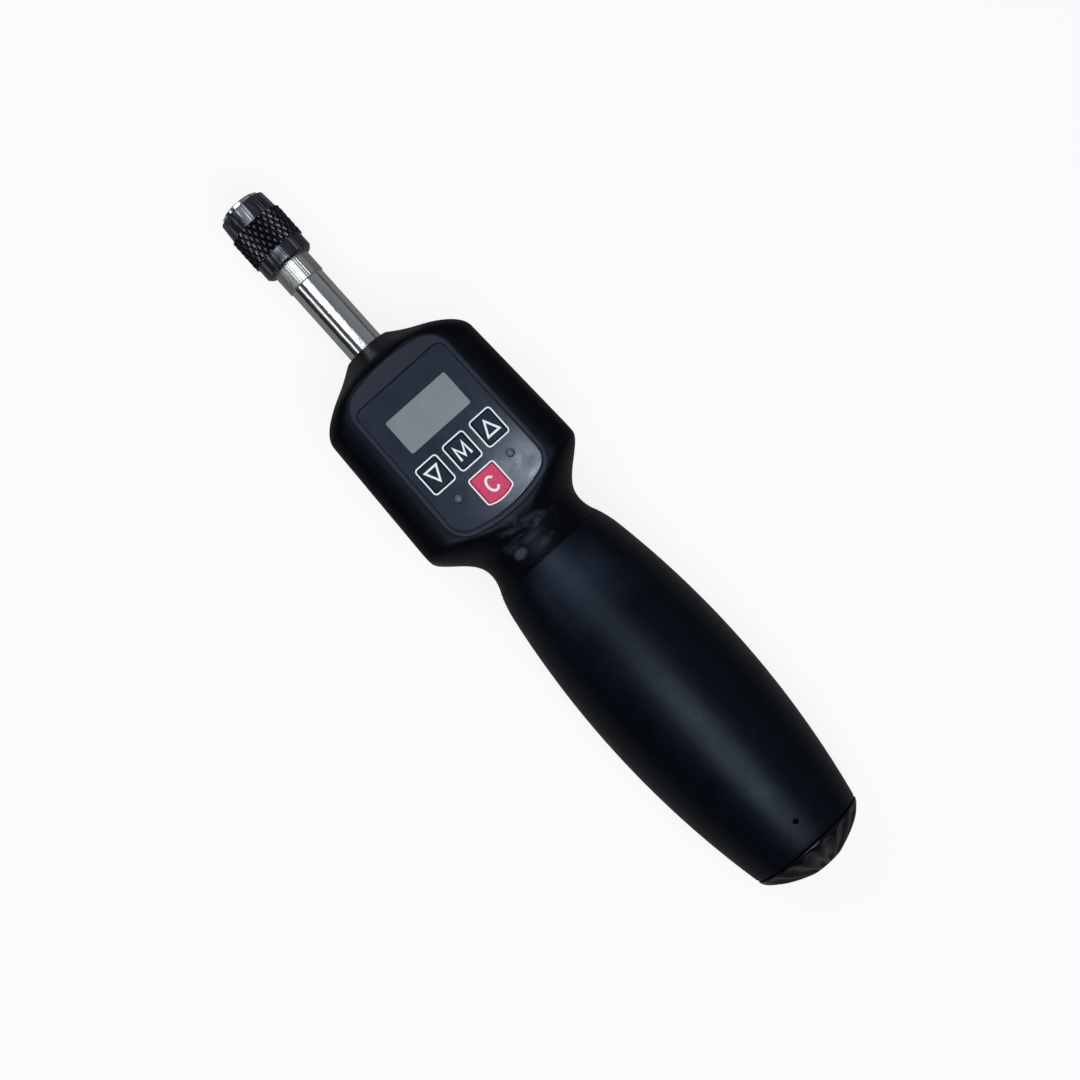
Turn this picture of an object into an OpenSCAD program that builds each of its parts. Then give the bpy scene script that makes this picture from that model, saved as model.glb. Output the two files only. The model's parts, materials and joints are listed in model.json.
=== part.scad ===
// Digital torque screwdriver with a display head and a quick-release hex chuck.
// The drive axis is X. The bit mouth faces +X and the display faces +Z.
// A station is a distance behind the mouth, so a station s lies at x = -s.

/* [Bit socket] */
// Size of the hex bit across its flats
bit_w = 6.35; // [6:0.05:7]
// Clearance of the bit in its socket, each side
bit_fit = 0.05; // [0.02:0.01:0.1]
// Depth of the hex socket
socket_depth = 15; // [14:0.5:16]
// Steel between a flat of the socket and the chuck's nose
nose_wall = 1.525; // [1.4:0.025:1.7]
// Thickness of the magnet at the bottom of the socket
magnet_t = 2; // [1:0.5:3]
// Radius of the magnet
magnet_r = 2.95; // [2:0.05:2.98]
// Step from the chuck's nose up to its rear
chuck_step = 0.35; // [0.3:0.05:0.6]
// Length of the chuck from its mouth to its rear shoulder
chuck_len = 25.6; // [24:0.2:30]
// Chamfer at the chuck's two ends
chuck_chamfer = 0.3; // [0.1:0.05:0.3]

/* [Detent ball] */
// Radius of the ball that holds the bit
ball_r = 1.1; // [1:0.05:1.15]
// Clearance of the ball in its hole
ball_fit = 0.05; // [0.03:0.01:0.08]
// Clearance between the ball and the sleeve's land
ball_gap = 0.02; // [0.01:0.01:0.03]
// Distance from the mouth to the ball
ball_s = 11.1; // [10.5:0.1:11.5]

/* [Release sleeve] */
// Running clearance of the sleeve on the chuck
run_fit = 0.05; // [0.03:0.01:0.08]
// Room for the spring round the chuck's nose
spring_room = 1.15; // [1.1:0.05:1.4]
// Wall of the sleeve round the spring
sleeve_wall = 0.95; // [0.7:0.05:1.5]
// Height of the sleeve's knurl over its bands
knurl_h = 0.5; // [0.5:0.05:1]
// Depth of the knurl's grooves
knurl_depth = 0.45; // [0.2:0.05:0.48]
// Diamonds round the knurl
knurl_n = 26; // [22:1:40]
// Half diamonds along the knurl
knurl_rows = 6; // [5:1:15]
// Length of the sleeve's front band
front_band = 5.1; // [4:0.1:6]
// Taper of the front band's radius
band_taper = 0.37; // [0.1:0.01:0.4]
// Length of the knurl
knurl_len = 8.8; // [7:0.1:10]
// Length of the sleeve's rear band
rear_band = 3.6; // [3:0.1:5]
// Length and depth of the chamfer at the sleeve's rear
sleeve_chamfer = 0.7; // [0.3:0.05:0.8]
// Length of the sleeve's land in front of the ball
land_len = 1.9; // [1.7:0.1:2.2]
// Distance that the land reaches past the front of the ball's middle
land_past = 0.2; // [0.1:0.05:0.3]
// Rise of the sleeve's ramp for each millimetre along
ramp_slope = 0.25; // [0.24:0.01:0.35]
// Length of the pocket behind the ramp
ramp_flat = 0.7; // [0.3:0.1:1]
// Distance that the sleeve slides forward
sleeve_travel = 3; // [2.5:0.1:3.2]

/* [Sleeve spring and ring] */
// Distance from the mouth to the snap ring
ring_s = 0.4; // [0.35:0.05:0.6]
// Width of the snap ring's groove
ring_w = 0.8; // [0.6:0.05:1]
// Depth of the snap ring's groove
ring_depth = 0.45; // [0.3:0.05:0.5]
// Height of the snap ring over the chuck's nose
ring_rise = 0.6; // [0.4:0.05:0.8]
// Opening of the snap ring
ring_split = 2; // [1:0.1:3]
// Thickness of the washer
washer_t = 0.6; // [0.4:0.05:0.8]
// Clearance round the washer
washer_fit = 0.1; // [0.05:0.01:0.15]
// Thickness of the sleeve spring's wire
spring_wire = 0.5; // [0.4:0.05:0.55]
// Turns of the sleeve spring
spring_turns = 6; // [4:1:6]

/* [Drive shaft] */
// Step from the chuck down to the shaft
shaft_step = 0.3; // [0.2:0.05:0.8]
// Length of the shaft between the chuck and the head
shaft_len = 22; // [15:0.5:35]
// Radius of the shaft's spigot in the chuck
spigot_r = 3; // [2.96:0.01:3.1]
// Clearance of pieces that are pressed or glued together
seat_fit = 0.02; // [0.01:0.01:0.03]
// Clearance of moulded pieces that slip together
slip_fit = 0.05; // [0.03:0.01:0.08]

/* [Head] */
// Width of the head behind the nose cone
head_front_w = 43.7; // [43.1:0.2:48.1]
// Width of the head where it is widest
head_rear_w = 47; // [46:0.5:52]
// Height of the display side over the drive axis
head_top = 17.5; // [17.3:0.1:19]
// Length of the nose cone at its sides
nose_cone = 10.8; // [9:0.1:12]
// Rounding between the nose cone's sides and the body
nose_round = 4; // [1:0.5:5]
// Length of the nose cone above and below, as far as the body's sides would reach
nose_rise = 8.2; // [7:0.1:9]
// Rounding between the nose cone and the body above and below
nose_rise_round = 3; // [1:0.5:3.5]
// Length of the head's full body
body_len = 47; // [46:0.5:50]
// Length over which the body narrows to the neck
waist_len = 14; // [12:0.5:15]
// Length of the neck behind the waist
neck_len = 6.4; // [5:0.2:10]
// Radius of the neck
neck_r = 14.5; // [14.4:0.1:15]
// Radius of the body's long edges
corner_r = 8; // [6:0.5:9]
// Wall of the head's shells
shell_wall = 2.4; // [2:0.1:2.6]
// Wall of the head's nose round the bushing
nose_shell = 0.8; // [0.8:0.1:1.5]
// Wall of the shaft's bushing
bushing_wall = 0.65; // [0.6:0.05:1.2]
// Length of the shaft's bushing
bushing_len = 5; // [3:0.5:5.5]
// Lip of the shells in front of the bushing
nose_lip = 0.8; // [0.5:0.1:1.2]

/* [Display panel] */
// Distance from the head's nose to the bezel
bezel_u = 7; // [6.8:0.1:7.6]
// Distance that the bezel reaches past the middle of the waist
bezel_past = 0.5; // [0.2:0.1:0.8]
// Distance from the head's side to the bezel's front corner
bezel_side = 6.85; // [6.65:0.05:6.95]
// Growth of the bezel's width from its front to its rear
bezel_taper = 1.3; // [1:0.1:1.6]
// Radius of the bezel's front edge
bezel_front_r = 45; // [40:1:60]
// Radius of the bezel's rear edge
bezel_rear_r = 36; // [32:1:45]
// Radius of the bezel's corners
bezel_corner_r = 6.5; // [5:0.5:7]
// Height of the bezel over the shell
bezel_rise = 1.5; // [1.2:0.1:2]
// Distance from the bezel's edge to its skirt
skirt_in = 1.7; // [1.4:0.1:1.8]
// Depth of the bezel's skirt under the shell's face
skirt_depth = 2.9; // [2.7:0.1:3.2]
// Distance from the bezel's front to the overlay, as a share of the bezel's length
overlay_front_share = 0.1116; // [0.107:0.0001:0.114]
// Rim of the bezel round the overlay
overlay_rim = 1.6; // [1.4:0.1:1.7]
// Radius of the overlay's front corners
overlay_corner_r = 2; // [1:0.5:3]
// Gap between the overlay and the bezel's rim
overlay_gap = 0.3; // [0.1:0.01:0.3]
// Thickness of the overlay
overlay_t = 0.8; // [0.6:0.1:0.9]
// Depth of the overlay under the bezel's top
overlay_sink = 0.3; // [0.1:0.05:0.4]

/* [Display] */
// Width of the display window, as a share of the bezel's width
lcd_w_share = 0.6243; // [0.55:0.0001:0.65]
// Length of the display window, as a share of the bezel's length
lcd_len_share = 0.2075; // [0.19:0.0001:0.212]
// Distance from the overlay's front to the window, as a share of the bezel's length
lcd_front_share = 0.132; // [0.12:0.0001:0.132]
// Margin of the display module round its window, across
lcd_side = 2.1; // [1:0.1:2.2]
// Margin of the display module round its window, along
lcd_end = 1.6; // [1:0.1:2]
// Thickness of the display's lens
lens_t = 0.95; // [0.8:0.05:1]

/* [Keys] */
// Width of a key's frame, as a share of the bezel's width
key_w_share = 0.2267; // [0.225:0.0001:0.243]
// Length of a key's frame, as a share of the bezel's length
key_len_share = 0.1705; // [0.16:0.0001:0.175]
// Distance between the middles of the keys, as a share of the bezel's width
key_pitch_share = 0.2847; // [0.283:0.0001:0.287]
// Distance from the display window to the keys, as a share of the bezel's length
key_front_share = 0.067; // [0.064:0.0001:0.067]
// Width of the clear key's frame, as a share of the bezel's width
clear_w_share = 0.272; // [0.24:0.0001:0.29]
// Length of the clear key's frame, as a share of the bezel's length
clear_len_share = 0.1853; // [0.17:0.0001:0.188]
// Distance from the keys to the clear key, as a share of the bezel's length
clear_front_share = 0.0442; // [0.043:0.0001:0.045]
// Bow of the clear key's rear side
clear_bow = 1; // [0.5:0.1:1.5]
// Width of the frame round each key
key_frame = 0.4; // [0.3:0.05:0.5]
// Gap round each key
key_gap = 0.1; // [0.08:0.01:0.15]
// Radius of a key's corners
key_corner_r = 0.8; // [0.4:0.1:1.2]
// Height of the keys over the overlay
key_rise = 0.3; // [0.2:0.05:0.5]
// Flange of a key under the overlay
key_flange = 0.5; // [0.3:0.05:0.55]
// Thickness of a key's flange
key_flange_t = 0.8; // [0.6:0.05:0.9]
// Distance that a key moves
key_travel = 0.4; // [0.3:0.05:0.45]
// Gap over and under a key's flange
key_play = 0.05; // [0.04:0.01:0.08]
// Radius of the two indicator lenses
dot_r = 0.95; // [0.7:0.05:1.1]
// Distance of the indicator lenses from the middle, as a share of the bezel's width
dot_y_share = 0.275; // [0.25:0.001:0.29]
// Distance from the clear key's front to the indicator lenses
dot_back = 1.7; // [1.5:0.1:2]

/* [Board] */
// Thickness of the main board
board_t = 1.6; // [1:0.1:1.6]
// Distance from the bezel's front to the board
board_front = 2.9; // [2.8:0.1:3.4]
// Distance from the board to the bezel's rear end
board_rear = 3.9; // [3.7:0.1:4.5]
// Radius of the board's screws
board_screw_r = 0.8; // [0.6:0.05:0.9]
// Distance from the board's front screws to the overlay
board_screw_front = 0.6; // [0.5:0.05:0.7]
// Distance from the board's rear screws to the clear key's end
board_screw_rear = 3; // [2.8:0.05:3.2]
// Width of a switch
switch_w = 4.5; // [4:0.1:6]
// Radius of the buzzer
buzzer_r = 3.5; // [3:0.1:3.6]
// Height of the buzzer
buzzer_h = 1.3; // [1:0.1:1.3]
// Gap between the buzzer and the rib behind it
buzzer_gap = 0.3; // [0.2:0.1:0.6]
// Height of the parts under the board
chip_h = 1.2; // [0.8:0.1:1.3]

/* [Torque sensor] */
// Distance from the head's nose to the sensor
sensor_u = 9.9; // [9:0.1:10.5]
// Wall of the sensor's socket round the shaft
sensor_wall = 2.8; // [2:0.1:3]
// Length of the sensor's socket
sensor_socket = 10.5; // [10:0.1:11]
// Depth of the shaft in the socket
shaft_depth = 8.4; // [7:0.1:9]
// Radius of the measuring stretch
gauge_r = 4.5; // [4.3:0.1:5]
// Half thickness between the flats of the measuring stretch
gauge_flat = 4; // [3.6:0.1:4.1]
// Length of the measuring stretch, as a share of the length of the head's full body
gauge_len_share = 0.2553; // [0.235:0.0001:0.275]
// Radius of the sensor's tail
tail_r = 6; // [5:0.1:6.5]
// Length of the tail in front of the flange
tail_len = 2.2; // [2:0.1:2.6]
// Radius of the sensor's flange
flange_r = 11; // [10:0.1:11.2]
// Half width between the flange's flats
flange_flat = 9.5; // [9:0.1:9.8]
// Length of the sensor's flange
flange_len = 5.6; // [4:0.1:5.6]
// Thickness of the ribs that hold the sensor
rib_t = 1.4; // [1:0.1:1.6]
// Height of the ribs over the split of the shells
rib_h = 11.6; // [11.5:0.1:11.7]

/* [Housing screws] */
// Distance from the head's nose to the front screws
screw_front = 14.4; // [14:0.2:16]
// Distance from the rear screws to the end of the full body
screw_rear = 1.6; // [1:0.2:5]
// Distance from the head's side to the screws
screw_side = 4.85; // [4.65:0.1:4.95]
// Radius of a screw's shank
screw_r = 1.25; // [1:0.05:1.4]
// Radius of a screw's head
screw_head_r = 2.5; // [2:0.1:2.6]
// Thickness of a screw's head
screw_head_t = 2; // [1.5:0.1:2.5]
// Depth of a screw's head under the back
screw_sink = 4; // [3:0.1:5]
// Wall of the bosses round the screws
boss_wall = 1.6; // [1.2:0.1:1.8]
// Depth of the screws past the split of the shells
screw_reach = 8; // [5:0.5:10]

/* [Handle] */
// Length of the grip
grip_len = 93.4; // [91:0.2:110]
// Radius of the grip where it is thickest
grip_r = 20.75; // [20:0.05:22]
// Drop of the grip's radius from its thickest place to its rear end
grip_drop = 5.04; // [4:0.02:5.5]
// Share of the grip's length in front of its thickest place
grip_peak_share = 0.4818; // [0.47:0.0001:0.53]
// Thickness of the rubber on the grip
rubber_t = 2; // [1.5:0.1:2.1]
// Chamfer at the grip's two ends
grip_chamfer = 0.5; // [0.2:0.1:0.8]
// Rise of the grip's front chamfer for each millimetre along
grip_front_slope = 0.36; // [0.3:0.02:1]
// Gap between the head and the grip
seam_gap = 0.1; // [0.05:0.05:0.3]
// Radius inside the core tube
tube_in_r = 11.6; // [11.5:0.05:11.8]
// Wall of the core tube
tube_wall = 1.4; // [1.2:0.05:1.4]
// Distance from the tube's end to the grip's end
tube_inset = 1; // [0.6:0.1:1.5]
// Thickness of the tube's flange
tube_flange_t = 3; // [2:0.1:3]
// Height of the flange over the tube
tube_flange_h = 1.3; // [1.1:0.05:1.4]
// Width of the key that holds the flange
tube_key_w = 4; // [3:0.1:5]
// Distance from the grip's end to the set screw
pin_back = 7; // [6.5:0.1:7.5]
// Distance of the set screw from the middle
pin_y = 0.3; // [0:0.1:1.5]
// Radius of the set screw
pin_r = 0.75; // [0.6:0.05:0.9]
// Depth of the set screw under the grip
pin_sink = 0.8; // [0.5:0.1:1.5]

/* [Batteries] */
// Radius of a battery cell
cell_r = 5.2; // [5.1:0.05:5.25]
// Length of a cell's can
cell_len = 43.3; // [42.8:0.1:43.4]
// Length of a cell's nub
nub_len = 1.2; // [1:0.1:1.4]
// Radius of a cell's nub
nub_r = 1.9; // [1.5:0.1:2.4]
// Clearance round a cell in its pocket
cell_fit = 0.15; // [0.1:0.01:0.18]
// Wall between the two cells
cell_web = 0.3; // [0.3:0.05:0.4]
// Clearance of the holder in the tube
holder_fit = 0.1; // [0.05:0.01:0.15]
// Thickness of the holder's front end
holder_front = 2.6; // [2:0.1:3]
// Thickness of the holder's rear end
holder_rear = 2; // [1.5:0.1:2.5]
// Height of the holder's sides over the cells' middles
holder_side = 1.5; // [1:0.1:2.5]
// Thickness of a contact plate
contact_t = 0.4; // [0.3:0.05:0.5]
// Width of a contact plate
contact_w = 8; // [7:0.1:8.2]
// Depth of a contact plate under the cells' middles
contact_drop = 3; // [2:0.1:3.4]
// Length of a fitted cell spring
coil_len = 4; // [3.6:0.1:4.4]
// Mean radius of a cell spring
coil_r = 2.8; // [2.4:0.1:3.2]
// Thickness of a cell spring's wire
coil_wire = 0.5; // [0.4:0.05:0.55]
// Turns of a cell spring
coil_turns = 3; // [2:1:3]
// Radius of a lead
lead_r = 0.6; // [0.4:0.05:0.7]

/* [Battery cap] */
// Gap between the grip and the cap
cap_gap = 0.2; // [0.1:0.05:0.3]
// Length of the cap's dome
cap_len = 7.3; // [6.5:0.1:9]
// Radius of the cap's flat end
cap_end_r = 5; // [3:0.1:7]
// Flutes round the cap
flute_n = 16; // [12:1:18]
// Depth of the cap's flutes
flute_depth = 0.85; // [0.4:0.05:1]
// Length of the cap's spigot in the tube
cap_spigot = 5.8; // [5:0.1:6.2]
// Clearance of the spigot in the tube
cap_fit = 0.1; // [0.05:0.01:0.15]
// Wall of the spigot
cap_wall = 2; // [1.8:0.1:2.5]
// Thickness of the cap's sealing ring
ring_t = 1.3; // [1:0.1:1.5]
// Distance from the spigot's front to the sealing ring
ring_front = 2.4; // [2:0.1:2.6]

/* [Hidden] */
$fn = 64;
// Overrun of the cuts past the faces that they leave
over = 1;

// Chuck
hex_af = bit_w + 2 * bit_fit;
hex_r = hex_af / sqrt(3);
nose_r = hex_af / 2 + nose_wall;
chuck_r = nose_r + chuck_step;
shaft_r = chuck_r - shaft_step;
ball_hole_r = ball_r + ball_fit;
step_s = ball_s + ball_hole_r + ball_fit;
spigot_s = socket_depth + slip_fit + magnet_t;

// Sleeve
land_r = nose_r + run_fit;
pocket_r = nose_r + spring_room;
rear_bore_r = chuck_r + run_fit;
band_r = pocket_r + sleeve_wall;
knurl_r = band_r + knurl_h;
sleeve_s = ring_s + ring_w + washer_fit;
sleeve_len = front_band + knurl_len + rear_band + sleeve_chamfer;
land_end = ball_s - land_past;
land_start = land_end - land_len;
ramp_end = land_end + (pocket_r - land_r) / ramp_slope;
rear_bore_s = ramp_end + ramp_flat;
ball_z = land_r - ball_gap - ball_r;
washer_s = ring_s + ring_w;
spring_s = washer_s + washer_t;
spring_r = (nose_r + pocket_r) / 2;

// Head, with u as the distance behind its nose
head_s = chuck_len + shaft_len;
head_len = body_len + waist_len + neck_len;
bushing_r = shaft_r + slip_fit + bushing_wall;
head_nose_r = bushing_r + seat_fit + nose_shell;
head_back = grip_r;
side_slope = (head_front_w / 2 - head_nose_r) / nose_cone;
rise_slope = (head_front_w / 2 - head_nose_r) / nose_rise;
neck_u = body_len + waist_len;
top_hold = body_len + waist_len / 2;
grip_s = head_s + head_len + seam_gap;
grip_peak = grip_len * grip_peak_share;
grip_curve = (pow(grip_len - grip_peak, 2) + pow(grip_drop, 2)) / (2 * grip_drop);
grip_front_r = grip_r - grip_curve + sqrt(pow(grip_curve, 2) - pow(grip_peak, 2));
neck_flare = grip_front_r - grip_chamfer - neck_r;

// Panel, laid out in shares of the bezel's length and width
bezel_len = top_hold + bezel_past - bezel_u;
bezel_front_w = head_front_w - 2 * bezel_side;
bezel_rear_w = bezel_front_w + bezel_taper;
overlay_front = bezel_len * overlay_front_share;
lcd_front = bezel_len * lcd_front_share;
lcd_len = bezel_len * lcd_len_share;
lcd_w = bezel_front_w * lcd_w_share;
key_front = bezel_len * key_front_share;
key_len = bezel_len * key_len_share;
key_w = bezel_front_w * key_w_share;
key_pitch = bezel_front_w * key_pitch_share;
clear_front = bezel_len * clear_front_share;
clear_len = bezel_len * clear_len_share;
clear_w = bezel_front_w * clear_w_share;
dot_y = bezel_front_w * dot_y_share;

// Panel heights
bezel_z = head_top + bezel_rise;
overlay_z = bezel_z - overlay_sink - overlay_t;
overlay_top = overlay_z + overlay_t;
key_base = overlay_z - key_play - key_flange_t;
board_top = head_top - skirt_depth;
board_z = board_top - board_t;
lens_z = overlay_top - lens_t;

// Panel stations
bezel_s = head_s + bezel_u;
bezel_end = bezel_s + bezel_len;
overlay_s = bezel_s + overlay_front;
lcd_s = overlay_s + lcd_front;
key_s = lcd_s + lcd_len + key_front;
clear_s = key_s + key_len + clear_front;
dot_s = clear_s + dot_back;
key_room = key_flange + key_gap;
// Half width of the bezel's opening round the row of keys
open_y = key_pitch + key_w / 2 - key_frame - key_gap + key_flange + 2 * key_gap;
// Half width of the bezel's opening round the clear key
clear_y = clear_w / 2 - key_frame - key_gap + key_flange + 2 * key_gap;

// Board
board_s = bezel_s + board_front;
board_len = bezel_len - board_front - board_rear;
board_w = bezel_front_w - 2 * skirt_in;
board_screw_s = [overlay_s - board_screw_front, clear_s + clear_len - board_screw_rear];
board_hole_r = board_screw_r + slip_fit;
switch_h = key_base - key_travel - key_play - board_top;
// Height of a switch's body as a share of its whole height
switch_share = 0.7;

// Sensor
sensor_s = head_s + sensor_u;
sensor_r = shaft_r + sensor_wall;
gauge_len = body_len * gauge_len_share;
gauge_s = sensor_s + sensor_socket;
tail_s = gauge_s + gauge_len;
flange_s = tail_s + tail_len;
shaft_end = sensor_s + shaft_depth;
rib_gap = 0.1;
tail_rib_s = flange_s - rib_gap - rib_t;
flange_rib_s = flange_s + flange_len + rib_gap;

// Gauges on the sensor, chips and lamps on the board
pad_len = gauge_len / 2;
pad_w = gauge_r;
pad_t = 2 * rib_gap;
pad_s = gauge_s + (gauge_len - pad_len) / 2;
chip_w = board_w / 4;
chip_y = board_w / 3;
lamp_h = 4 * rib_gap;

// Cavity of the shells
cavity_u = nose_rise - 2 * rib_gap;
tube_s = head_s + top_hold - tube_flange_t - 2 * rib_gap;
cavity_end = tube_s + tube_flange_t + rib_gap - head_s;
tube_rib_s = tube_s - rib_gap - rib_t;
tube_rib_r = tube_in_r - rib_t;
buzzer_s = tube_rib_s - buzzer_gap - buzzer_r;
lead_s = tube_rib_s - rib_gap - lead_r;
lead_z = gauge_flat;
screw_y = head_front_w / 2 - screw_side;

// Handle
tube_r = tube_in_r + tube_wall;
tube_flange_r = tube_r + tube_flange_h;
grip_end = grip_s + grip_len;
tube_end = grip_end - tube_inset;
grip_end_r = grip_r - grip_drop;
pin_s = grip_end - pin_back;
pin_top = grip_r - grip_curve + sqrt(pow(grip_curve, 2) - pow(pin_s - grip_s - grip_peak, 2));

// Cap
cap_s = grip_end + cap_gap;
cap_r = grip_end_r;
cap_spigot_r = tube_in_r - cap_fit;
cap_spigot_s = cap_s - cap_spigot;
// Stations of the dome's rings, as shares of its length
dome_shares = [0, 0.05, 0.14, 0.26, 0.4, 0.54, 0.67, 0.78, 0.87, 0.94, 1];
// Power of the dome's curve
dome_power = 1.8;

// Battery holder
pocket_y = cell_r + cell_fit + cell_web / 2;
cell_pocket = cell_len + nub_len + coil_len + 2 * contact_t;
holder_r = tube_in_r - holder_fit;
holder_len = holder_front + cell_pocket + holder_rear;
holder_s = cap_spigot_s - holder_fit * 4 - holder_len;
pocket_s = holder_s + holder_front;

// Places one of the parts at a station, with Z pointing to the tail and X pointing up
module along(s) {
    translate([-s, 0, 0]) rotate([0, -90, 0]) children();
}

module rod(s, len, r) {
    along(s) cylinder(h = len, r = r);
}

module pipe(s, len, outer, inner) {
    difference() {
        rod(s, len, outer);
        rod(s - over, len + 2 * over, inner);
    }
}

// A block from one station to another, between two heights
module block(s, len, w, z, h) {
    translate([-s - len, -w / 2, z]) cube([len, w, h]);
}

// A hexagon along the axis with flats above and below
module hex_rod(s, len, r) {
    along(s) rotate([0, 0, 30]) cylinder(h = len, r = r, $fn = 6);
}

function mix(a, b, k) = a + (b - a) * k;
function unit(k) = max(0, min(1, k));
function smooth(k) = k * k * (3 - 2 * k);
function soft_min(a, b, r) = min(a, b) - pow(max(0, r - abs(a - b)), 2) / (4 * r);

// Faces of a tube of rings, each a loop of the same number of points
function side_faces(rings, n) = [
    for (j = [0:rings - 2]) for (i = [0:n - 1]) let (k = (i + 1) % n)
    for (f = [[j * n + i, (j + 1) * n + k, j * n + k],
        [j * n + i, (j + 1) * n + i, (j + 1) * n + k]]) f];
function end_faces(rings, n) = [
    [for (i = [0:n - 1]) i],
    [for (i = [n - 1:-1:0]) (rings - 1) * n + i]];

// Points along a helix, twelve to a turn
helix_steps = 12;
function helix(r, len, turns, wire) = [
    for (i = [0:turns * helix_steps]) let (a = 360 * i / helix_steps)
    [r * cos(a), r * sin(a), mix(wire / 2, len - wire / 2, i / (turns * helix_steps))]];

// A wire of six sides along a helix
module coil(r, len, turns, wire) {
    sides = 6;
    path = helix(r, len, turns, wire);
    points = [for (i = [0:len(path) - 1]) let (a = 360 * i / helix_steps) for (j = [0:sides - 1])
        let (b = 360 * j / sides) path[i] + wire / 2 *
            [cos(b) * cos(a), cos(b) * sin(a), sin(b)]];
    polyhedron(points = points,
        faces = concat(side_faces(len(path), sides), end_faces(len(path), sides)),
        convexity = 10);
}

// Least gap between one turn of a wire and the next, measured on its points
function least_gap(path, wire) = min([
    for (i = [0:len(path) - 1]) for (j = [i + helix_steps / 2:1:len(path) - 1])
    norm(path[i] - path[j])]) - wire;
spring_len = land_start - spring_s;
echo(sleeve_spring_gap = least_gap(helix(spring_r, spring_len, spring_turns, spring_wire),
    spring_wire));
echo(cell_spring_gap = least_gap(helix(coil_r, coil_len, coil_turns, coil_wire), coil_wire));

// Sections of the head
function waist(u, from) = smooth(unit((u - from) / (neck_u - from)));
function flare(u) = neck_flare * pow(unit((u - neck_u) / (head_len - neck_u)), 2);
function cone(u, slope) = head_nose_r + slope * u;
function half_w(u) = flare(u) + mix(soft_min(cone(u, side_slope),
    mix(head_front_w, head_rear_w, u / body_len) / 2, nose_round), neck_r, waist(u, body_len));
function top_h(u) = flare(u) + mix(soft_min(cone(u, rise_slope), head_top, nose_rise_round),
    neck_r, waist(u, top_hold));
function back_h(u) = flare(u) + mix(soft_min(cone(u, rise_slope), head_back, nose_rise_round),
    neck_r, waist(u, body_len));
function squareness(u) = smooth(unit(u / nose_rise)) * (1 - waist(u, body_len));

// Half of a section: an ellipse that turns into a rounded box as k goes from 0 to 1
arc_n = 8;
function half_section(w, h, r, k, base) = let (last = 2 * arc_n + 3) [
    for (i = [0:last]) let (
        side = i * 2 < last ? 1 : -1,
        step = i * 2 < last ? i : last - i,
        a = 90 * (step - 1) / arc_n,
        box = step == 0 ? [w, 0] : [w - r + r * cos(a), h - r + r * sin(a)],
        b = 180 * step / last,
        oval = [w * cos(b), h * sin(b)],
        p = mix(oval, box, k))
    [side * p[0], step == 0 ? base : p[1]]];

module half_loft(stations, in, back, base) {
    n = 2 * arc_n + 4;
    points = [for (u = stations) for (p = half_section(half_w(u) - in,
        (back ? back_h(u) : top_h(u)) - in, corner_r - in, squareness(u), base))
        [-head_s - u, -p[0], p[1]]];
    polyhedron(points = points, faces = concat(side_faces(len(stations), n),
        end_faces(len(stations), n)), convexity = 6);
}

// Stations of the head's rings: close together on the nose and the waist
outer_stations = concat(
    [for (k = [0:11]) (nose_cone + nose_round) * k / 11],
    [mix(nose_cone + nose_round, body_len, 1 / 3), mix(nose_cone + nose_round, body_len, 2 / 3)],
    [for (k = [0:11]) body_len + waist_len * k / 11],
    [for (k = [1:3]) mix(neck_u, head_len, k / 3)]);
inner_stations = concat(
    [cavity_u, nose_cone + nose_round],
    [for (k = [0:6]) mix(body_len, cavity_end, k / 6)]);

screw_places = [for (u = [screw_front, body_len - screw_rear]) for (y = [-screw_y, screw_y])
    [-head_s - u, y, 0]];

// What stays solid inside one half of the head
module head_inside(h) {
    for (rib = [[tail_rib_s, tail_r + slip_fit], [flange_rib_s, tail_r + slip_fit],
        [tube_rib_s, tube_rib_r]]) {
        difference() {
            block(rib[0], rib_t, head_rear_w + 2 * over, -2 * over, rib_h + 2 * over);
            rod(rib[0] - over, rib_t + 2 * over, rib[1]);
        }
    }
    for (side = [0, 1]) mirror([0, side, 0])
        translate([-flange_rib_s - over, flange_flat + slip_fit, -2 * over])
            cube([flange_rib_s - tail_rib_s + over, head_rear_w, tail_r + 2 * over]);
    for (p = screw_places) translate(p - [0, 0, 2 * over])
        cylinder(h = h + 2 * over, r = screw_r + boss_wall);
}

module head_half(back) {
    difference() {
        half_loft(outer_stations, 0, back, 0);
        difference() {
            half_loft(inner_stations, shell_wall, back, -over);
            head_inside(back ? head_back : head_top);
        }
        rod(head_s - over, bushing_len + nose_rise + over, shaft_r + nose_lip / 2);
        rod(head_s + nose_lip, bushing_len + nose_rise, bushing_r + seat_fit);
        rod(head_s + cavity_end - over, head_len, tube_r + slip_fit);
    }
}

module panel(z, h) {
    translate([0, 0, z]) linear_extrude(height = h) children();
}

module round_corners(r) {
    offset(r = r) offset(delta = -r) children();
}

module bezel_outline() {
    front = bezel_front_w / 2;
    rear = bezel_rear_w / 2;
    round_corners(bezel_corner_r, $fn = 48) intersection() {
        translate([-bezel_s - bezel_front_r, 0]) circle(r = bezel_front_r, $fn = 180);
        translate([-bezel_end + bezel_rear_r, 0]) circle(r = bezel_rear_r, $fn = 144);
        polygon([[-bezel_s, front], [-bezel_end, rear], [-bezel_end, -rear], [-bezel_s, -front]]);
    }
}

module overlay_outline() {
    round_corners(overlay_corner_r, $fn = 24) intersection() {
        offset(delta = -overlay_rim) bezel_outline();
        translate([-bezel_end, -bezel_rear_w]) square([bezel_end - overlay_s, 2 * bezel_rear_w]);
    }
}

// A rectangle with round corners, from one station to another
module plate(s, len, w, r) {
    round_corners(r, $fn = 24) translate([-s - len, -w / 2]) square([len, w]);
}

// Outline of one of the three keys in the row, grown or shrunk from its frame
module key_outline(grow) {
    plate(key_s - grow, key_len + 2 * grow, key_w + 2 * grow, key_corner_r);
}

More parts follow.
